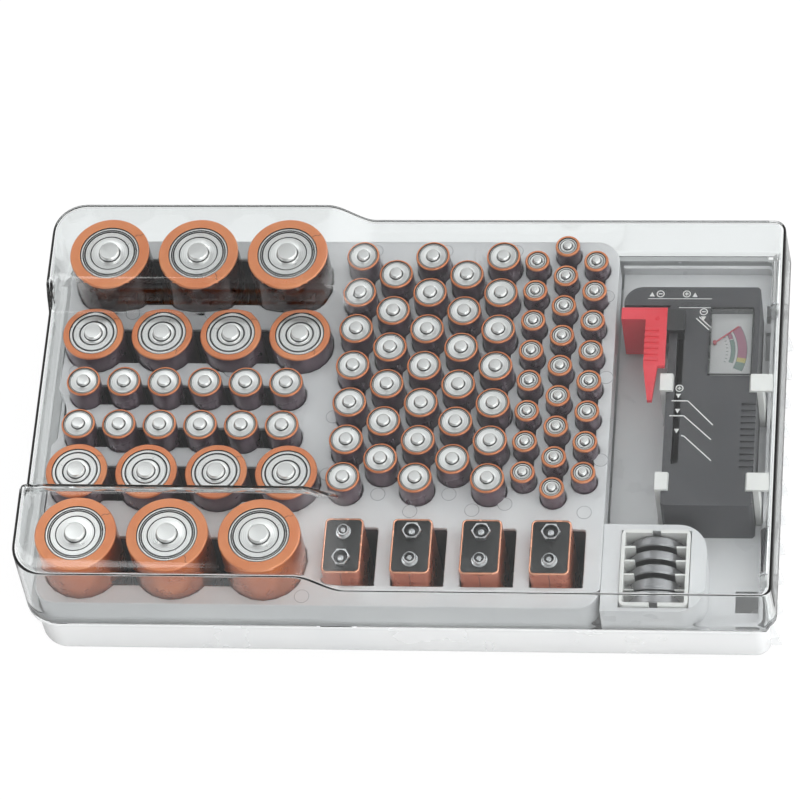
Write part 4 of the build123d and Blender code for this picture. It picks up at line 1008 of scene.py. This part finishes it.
def stud_mesh():
    """The stud: a turned button with a lip, hollow at the top."""
    # Index 1 marks the hollow's wall and floor, painted in shade with the dark steel.
    profile = [(3.3, 0.0, 0), (3.3, 0.3, 0), (2.5, 0.4, 0), (2.35, 1.0, 0), (2.8, 1.7, 0), (2.6, 2.15, 0),
               (2.1, 2.2, 0), (1.8, 1.7, 1), (1.2, 1.6, 1), (1.0, 1.8, 0)]
    points, faces, shade_indices = lathe(profile, 40)
    return new_mesh("snap_stud", points, faces, (bright_steel, groove_painted_shade), shade_indices, TURNED_CREASE)


SNAP_HALF, SNAP_SUNK = 6.35, 0.3
socket, stud = socket_mesh(), stud_mesh()
for i in range(NINE_COUNT):
    nine_volt_cell(i)
    middle_x, middle_y = NINE_FIRST + i * NINE_STEP + NINE_WIDE / 2, NINE_FRONT + NINE_DEEP / 2
    aside = SNAP_HALF if i == 0 else -SNAP_HALF
    for kind, mesh, y in (("stud", stud, middle_y + aside), ("socket", socket, middle_y - aside)):
        matrix = Matrix.Translation((middle_x * MM, y * MM, (NINE_TOP - SNAP_SUNK) * MM))
        place_piece(f"snap_{kind}_{i + 1}", mesh, "root", ("nine_volt_snaps",), matrix)
print("9 V cells:", NINE_COUNT)

# %% [markdown]
# ## Coin cells
# Each is a shallow can with a slightly smaller lid crimped in, so its edge shows a step.

# %% Coin cells
COIN_X, COIN_Z, COIN_R, COIN_THICK = 106.2, 27.0, 12.25, 5.0
COIN_COUNT, COIN_FIRST, COIN_PITCH = 5, -85.2, 6.4
coin_profile = [(10.8, 0.0, 0), (11.9, 0.15, 0), (COIN_R, 0.6, 0), (COIN_R, 3.7, 0), (12.0, 4.0, 0),
                (11.3, 4.1, 0), (11.1, 4.3, 0), (10.9, 4.8, 0), (10.4, COIN_THICK, 0)]
coin_points, coin_faces, _ = lathe(coin_profile, 96)
for k in range(COIN_COUNT):
    y = COIN_FIRST + k * COIN_PITCH
    turned = [(COIN_X + px, y + pz, COIN_Z - py) for px, py, pz in coin_points]
    make_piece(f"coin_cell_{k + 1}", turned, coin_faces, "root", [coin_steel],
               stands_for=("coin_cells",))
print("coin cells:", COIN_COUNT)

# %% [markdown]
# ## Printed marks
# The tester carries plain signs that any such tester would have: plus and minus in circles,
# arrow heads and guide lines. They are thin films of ink just above the plastic. The dial
# has coloured bands and short ticks round the needle's pivot.

# %% Marks on the tester
PRINT_LIFT, PRINT_THICK = 0.02, 0.04
COVER_TOP = 45.0


def ink_shape(name, outline, z, ink):
    """A flat patch of ink with this plan outline."""
    loops = [[(x, y, z + PRINT_LIFT + dz) for x, y in outline] for dz in (0.0, PRINT_THICK)]
    points, faces = skin(loops)
    return make_piece(name, points, faces, "root", [ink])


def ink_line(name, start, end, width, z, ink):
    """A straight stroke from one place to another."""
    (xa, ya), (xb, yb) = start, end
    length = math.hypot(xb - xa, yb - ya)
    ox, oy = -(yb - ya) / length * width / 2, (xb - xa) / length * width / 2
    return ink_shape(name, [(xa - ox, ya - oy), (xb - ox, yb - oy), (xb + ox, yb + oy), (xa + ox, ya + oy)],
                     z, ink)


def ink_band(name, centre, inner, outer, start, end, z, ink):
    """Part of a ring, in degrees round its centre."""
    steps = max(3, round(abs(end - start) / 6))
    angles = [math.radians(start + (end - start) * i / steps) for i in range(steps + 1)]
    cx, cy = centre
    top = [[(cx + r * math.cos(a), cy + r * math.sin(a), z + PRINT_LIFT) for a in angles]
           for r in (inner, outer)]
    points = top[0] + top[1]
    count = len(angles)
    faces = [(i, count + i, count + i + 1, i + 1) for i in range(count - 1)]
    return make_piece(name, points, faces, "root", [ink])


def ink_arrow(name, x, y, size, direction):
    """A small filled triangle that points to the front (-1) or the rear (+1)."""
    half = size / 2
    return ink_shape(name, [(x - half, y - direction * half), (x + half, y - direction * half),
                            (x, y + direction * half)][::direction], COVER_TOP, white_ink)


def ink_pole(name, x, y, is_plus):
    """A plus or minus in a circle."""
    ink_band(f"{name}_ring", (x, y), 1.25, 1.7, 0, 360, COVER_TOP, white_ink)
    ink_line(f"{name}_bar", (x - 0.8, y), (x + 0.8, y), 0.5, COVER_TOP, white_ink)
    if is_plus:
        ink_line(f"{name}_post", (x, y - 0.8), (x, y + 0.8), 0.5, COVER_TOP, white_ink)


ink_pole("mark_front_plus", 112.9, 11.9, True)
ink_pole("mark_rear_minus", 102.9, 58.2, False)
ink_pole("mark_rear_plus", 113.9, 58.2, True)
ink_pole("mark_side_minus", 121.4, 49.4, False)
for k, (x, y, direction) in enumerate(((112.6, 8.1, -1), (112.6, 0.8, -1), (112.6, -8.8, -1),
                                       (99.4, 58.0, 1), (117.4, 57.8, 1), (121.4, 46.0, -1))):
    ink_arrow(f"mark_arrow_{k + 1}", x, y, 2.2, direction)
guide_lines = (((109.9, 5.8), (116.7, 5.8), (127.5, -5.8)), ((109.3, -1.4), (115.3, -1.4), (127.0, -12.8)),
               ((114.6, -10.9), (115.8, -11.2), (127.4, -22.8)))
for k, (a, b, c) in enumerate(guide_lines):
    ink_line(f"mark_guide_{k + 1}", a, b, 0.5, COVER_TOP, white_ink)
    ink_line(f"mark_slant_{k + 1}", b, c, 0.5, COVER_TOP, white_ink)
ink_line("mark_rear_rule", (97.7, 55.8), (124.5, 55.8), 0.3, COVER_TOP, white_ink)
ink_line("mark_side_rule", (110.9, 51.4), (124.7, 51.4), 0.3, COVER_TOP, white_ink)
ink_line("mark_side_slash_1", (118.4, 46.2), (124.0, 40.4), 0.5, COVER_TOP, white_ink)
ink_line("mark_side_slash_2", (119.6, 46.9), (125.2, 41.1), 0.5, COVER_TOP, white_ink)

# %% Dial print
DIAL_TOP, EDGE_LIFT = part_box("meter_dial")[1].z / MM, 0.01
ARC_CENTRE = (115.2, 32.2)
bands = (("outer_low", 20.9, 24.8, 30, -8, pink_ink), ("outer_mid", 20.9, 24.8, -8, -13.5, yellow_ink),
         ("outer_high", 20.9, 24.8, -13.5, -23, green_ink), ("inner_low", 18.1, 19.8, 28.5, 18.5, pink_ink),
         ("inner_high", 18.1, 19.8, 17.5, -17, green_ink))
for name, inner, outer, start, end, ink in bands:
    ink_band(f"dial_{name}", ARC_CENTRE, inner, outer, start, end, DIAL_TOP, ink)
    for edge in (inner, outer):
        ink_band(f"dial_{name}_edge_{round(edge * 10)}", ARC_CENTRE, edge - 0.1, edge + 0.1, start, end,
                 DIAL_TOP + EDGE_LIFT, grey_ink)
TICK_COUNT, TICK_FIRST, TICK_STEP, TICK_REACH = 8, 24, 6, (16.0, 16.9)
for k in range(TICK_COUNT):
    angle = math.radians(TICK_FIRST - TICK_STEP * k)
    near, far = [(ARC_CENTRE[0] + r * math.cos(angle), ARC_CENTRE[1] + r * math.sin(angle))
                 for r in TICK_REACH]
    ink_line(f"dial_tick_{k + 1}", near, far, 0.25, DIAL_TOP, grey_ink)
print("dial bands:", len(bands), "ticks:", TICK_COUNT)

# %% [markdown]
# ## Finishes of the CAD pieces
# These pieces are already the right shape, so they only get their plastic, metal or card.

# %% CAD finishes
cad_finish = {
    "hinge_pins": bright_steel, "tester_tray": tray_grey,
    "tester_clips": holder_white, "coin_holder": holder_white, "tester_case": tester_dark,
    "tester_cover": tester_dark, "tester_screws": bright_steel, "snap_contacts": bright_steel,
    "load_board": board_green, "meter_window": clear, "meter_dial": dial_card,
    "meter_yoke": bright_steel, "meter_coil": copper_wire, "meter_needle": needle_red,
    "slider_arm": arm_red, "slider_shoe": shoe_dark, "slider_contact": bright_steel,
    "lobe_contact": bright_steel,
}
for name, material in cad_finish.items():
    node = nodes[name]
    if not node.material_slots:
        node.data.materials.append(material)
    for slot in node.material_slots:
        slot.material = material
print("CAD nodes with a finish:", len(cad_finish))

# %% [markdown]
# ## Studio
# A white floor, a soft sky that is brighter toward the hinge end, and three big soft lamps.
# The camera, also through clear plastic, meets a floor that glows nearly white, and the
# part of the floor's own shade that is left keeps the shadow under the case. What polished
# surfaces mirror is held dimmer than what lights the case. A lid this flat would otherwise
# lay a grey veil over all that stands under it, and a photographer hangs black cloth for
# the same reason. The floor lies a hair below the foot, so that the two don't share a plane.

# %% Floor
FLOOR_HALF, FLOOR_DROP = 4000.0, 0.05
FLOOR_GLOW, MIRRORED_FLOOR = 0.92, 0.35


def mirrored_only(tree, rays):
    """1 for a ray that a surface has mirrored, and 0 for one that has passed through.

    Blender also counts the rays that glass refracts as glossy, so those are taken out.
    """
    not_through = add_node(tree, "ShaderNodeMath", {0: 1.0, 1: rays.outputs["Is Transmission Ray"]},
                           operation="SUBTRACT")
    both = add_node(tree, "ShaderNodeMath", {0: rays.outputs["Is Glossy Ray"], 1: not_through.outputs[0]},
                    operation="MULTIPLY")
    return both.outputs[0]


def floor_material():
    """A matt white floor that glows for the camera and is dim where it is mirrored."""
    material, tree = blank_material("studio_floor")
    rays = add_node(tree, "ShaderNodeLightPath")
    diffuse = add_node(tree, "ShaderNodeBsdfDiffuse", {"Color": colour("#F2F2F2")})
    glow = add_node(tree, "ShaderNodeEmission", {"Color": colour("#FFFFFF"), "Strength": 1.0})
    seen = add_node(tree, "ShaderNodeMath", {0: rays.outputs["Is Camera Ray"],
                                             1: rays.outputs["Is Transmission Ray"]}, operation="MAXIMUM")
    share = add_node(tree, "ShaderNodeMath", {0: seen.outputs[0], 1: FLOOR_GLOW}, operation="MULTIPLY")
    direct = add_node(tree, "ShaderNodeMixShader", {0: share.outputs[0], 1: diffuse.outputs[0],
                                                    2: glow.outputs[0]})
    dim = add_node(tree, "ShaderNodeEmission", {"Color": colour("#FFFFFF"), "Strength": MIRRORED_FLOOR})
    mixed = add_node(tree, "ShaderNodeMixShader", {0: mirrored_only(tree, rays), 1: direct.outputs[0],
                                                   2: dim.outputs[0]})
    add_node(tree, "ShaderNodeOutputMaterial", {"Surface": mixed.outputs[0]})
    return material


floor_mesh = bpy.data.meshes.new("studio_floor")
reach, level = FLOOR_HALF * MM, -FLOOR_DROP * MM
floor_mesh.from_pydata([(-reach, -reach, level), (reach, -reach, level), (reach, reach, level),
                        (-reach, reach, level)], [], [(0, 1, 2, 3)])
floor_mesh.materials.append(floor_material())
studio_floor = bpy.data.objects.new("studio_floor", floor_mesh)
bpy.context.scene.collection.objects.link(studio_floor)

# %% World and lamps
BRIGHT_SIDE = (0.84, -0.05, 0.54)   # the direction from which most of the sky's light comes


def studio_world():
    """The sky: one level for the light that falls on the case, another where it is mirrored."""
    world = bpy.data.worlds.new("studio")
    world.use_nodes = True
    sky = world.node_tree
    sky.nodes.clear()
    rays = add_node(sky, "ShaderNodeLightPath")
    here = add_node(sky, "ShaderNodeTexCoord")
    heading = add_node(sky, "ShaderNodeSeparateXYZ", {0: here.outputs["Generated"]})
    toward_bright = add_node(sky, "ShaderNodeVectorMath", {0: here.outputs["Generated"],
                                                           1: BRIGHT_SIDE}, operation="DOT_PRODUCT")
    dome = add_node(sky, "ShaderNodeMapRange", {"Value": toward_bright.outputs["Value"],
                                                "From Min": 0.2, "From Max": 1.0, "To Min": 0.5,
                                                "To Max": 3.0})
    mirrored = add_node(sky, "ShaderNodeMapRange", {"Value": heading.outputs["Z"], "From Min": 0.2,
                                                    "From Max": 0.75, "To Min": 0.45, "To Max": 0.02})
    strength = add_node(sky, "ShaderNodeMix", {"Factor": mirrored_only(sky, rays), "A": dome.outputs[0],
                                               "B": mirrored.outputs[0]})
    background = add_node(sky, "ShaderNodeBackground", {"Color": colour("#FFFFFF"),
                                                        "Strength": strength.outputs["Result"]})
    add_node(sky, "ShaderNodeOutputWorld", {"Surface": background.outputs[0]})
    return world


bpy.context.scene.world = studio_world()


def soft_lamp(name, place, width, watts):
    """A square lamp that hangs at a place and looks at the middle of the deck."""
    light = bpy.data.lights.new(name, "AREA")
    light.shape = "SQUARE"
    light.size = width * MM
    light.energy = watts
    lamp = bpy.data.objects.new(name, light)
    lamp.location = Vector(place) * MM
    aim = Vector((0, 0, DECK_TOP)) * MM - lamp.location
    lamp.rotation_euler = aim.to_track_quat("-Z", "Y").to_euler()
    bpy.context.scene.collection.objects.link(lamp)
    return lamp


soft_lamp("key", (-700, 300, 1100), 700, 3.6)
soft_lamp("side", (-1100, 100, 900), 800, 4.0)
soft_lamp("front_fill", (500, -900, 700), 600, 2.0)
print("lamps:", len(bpy.data.lights))
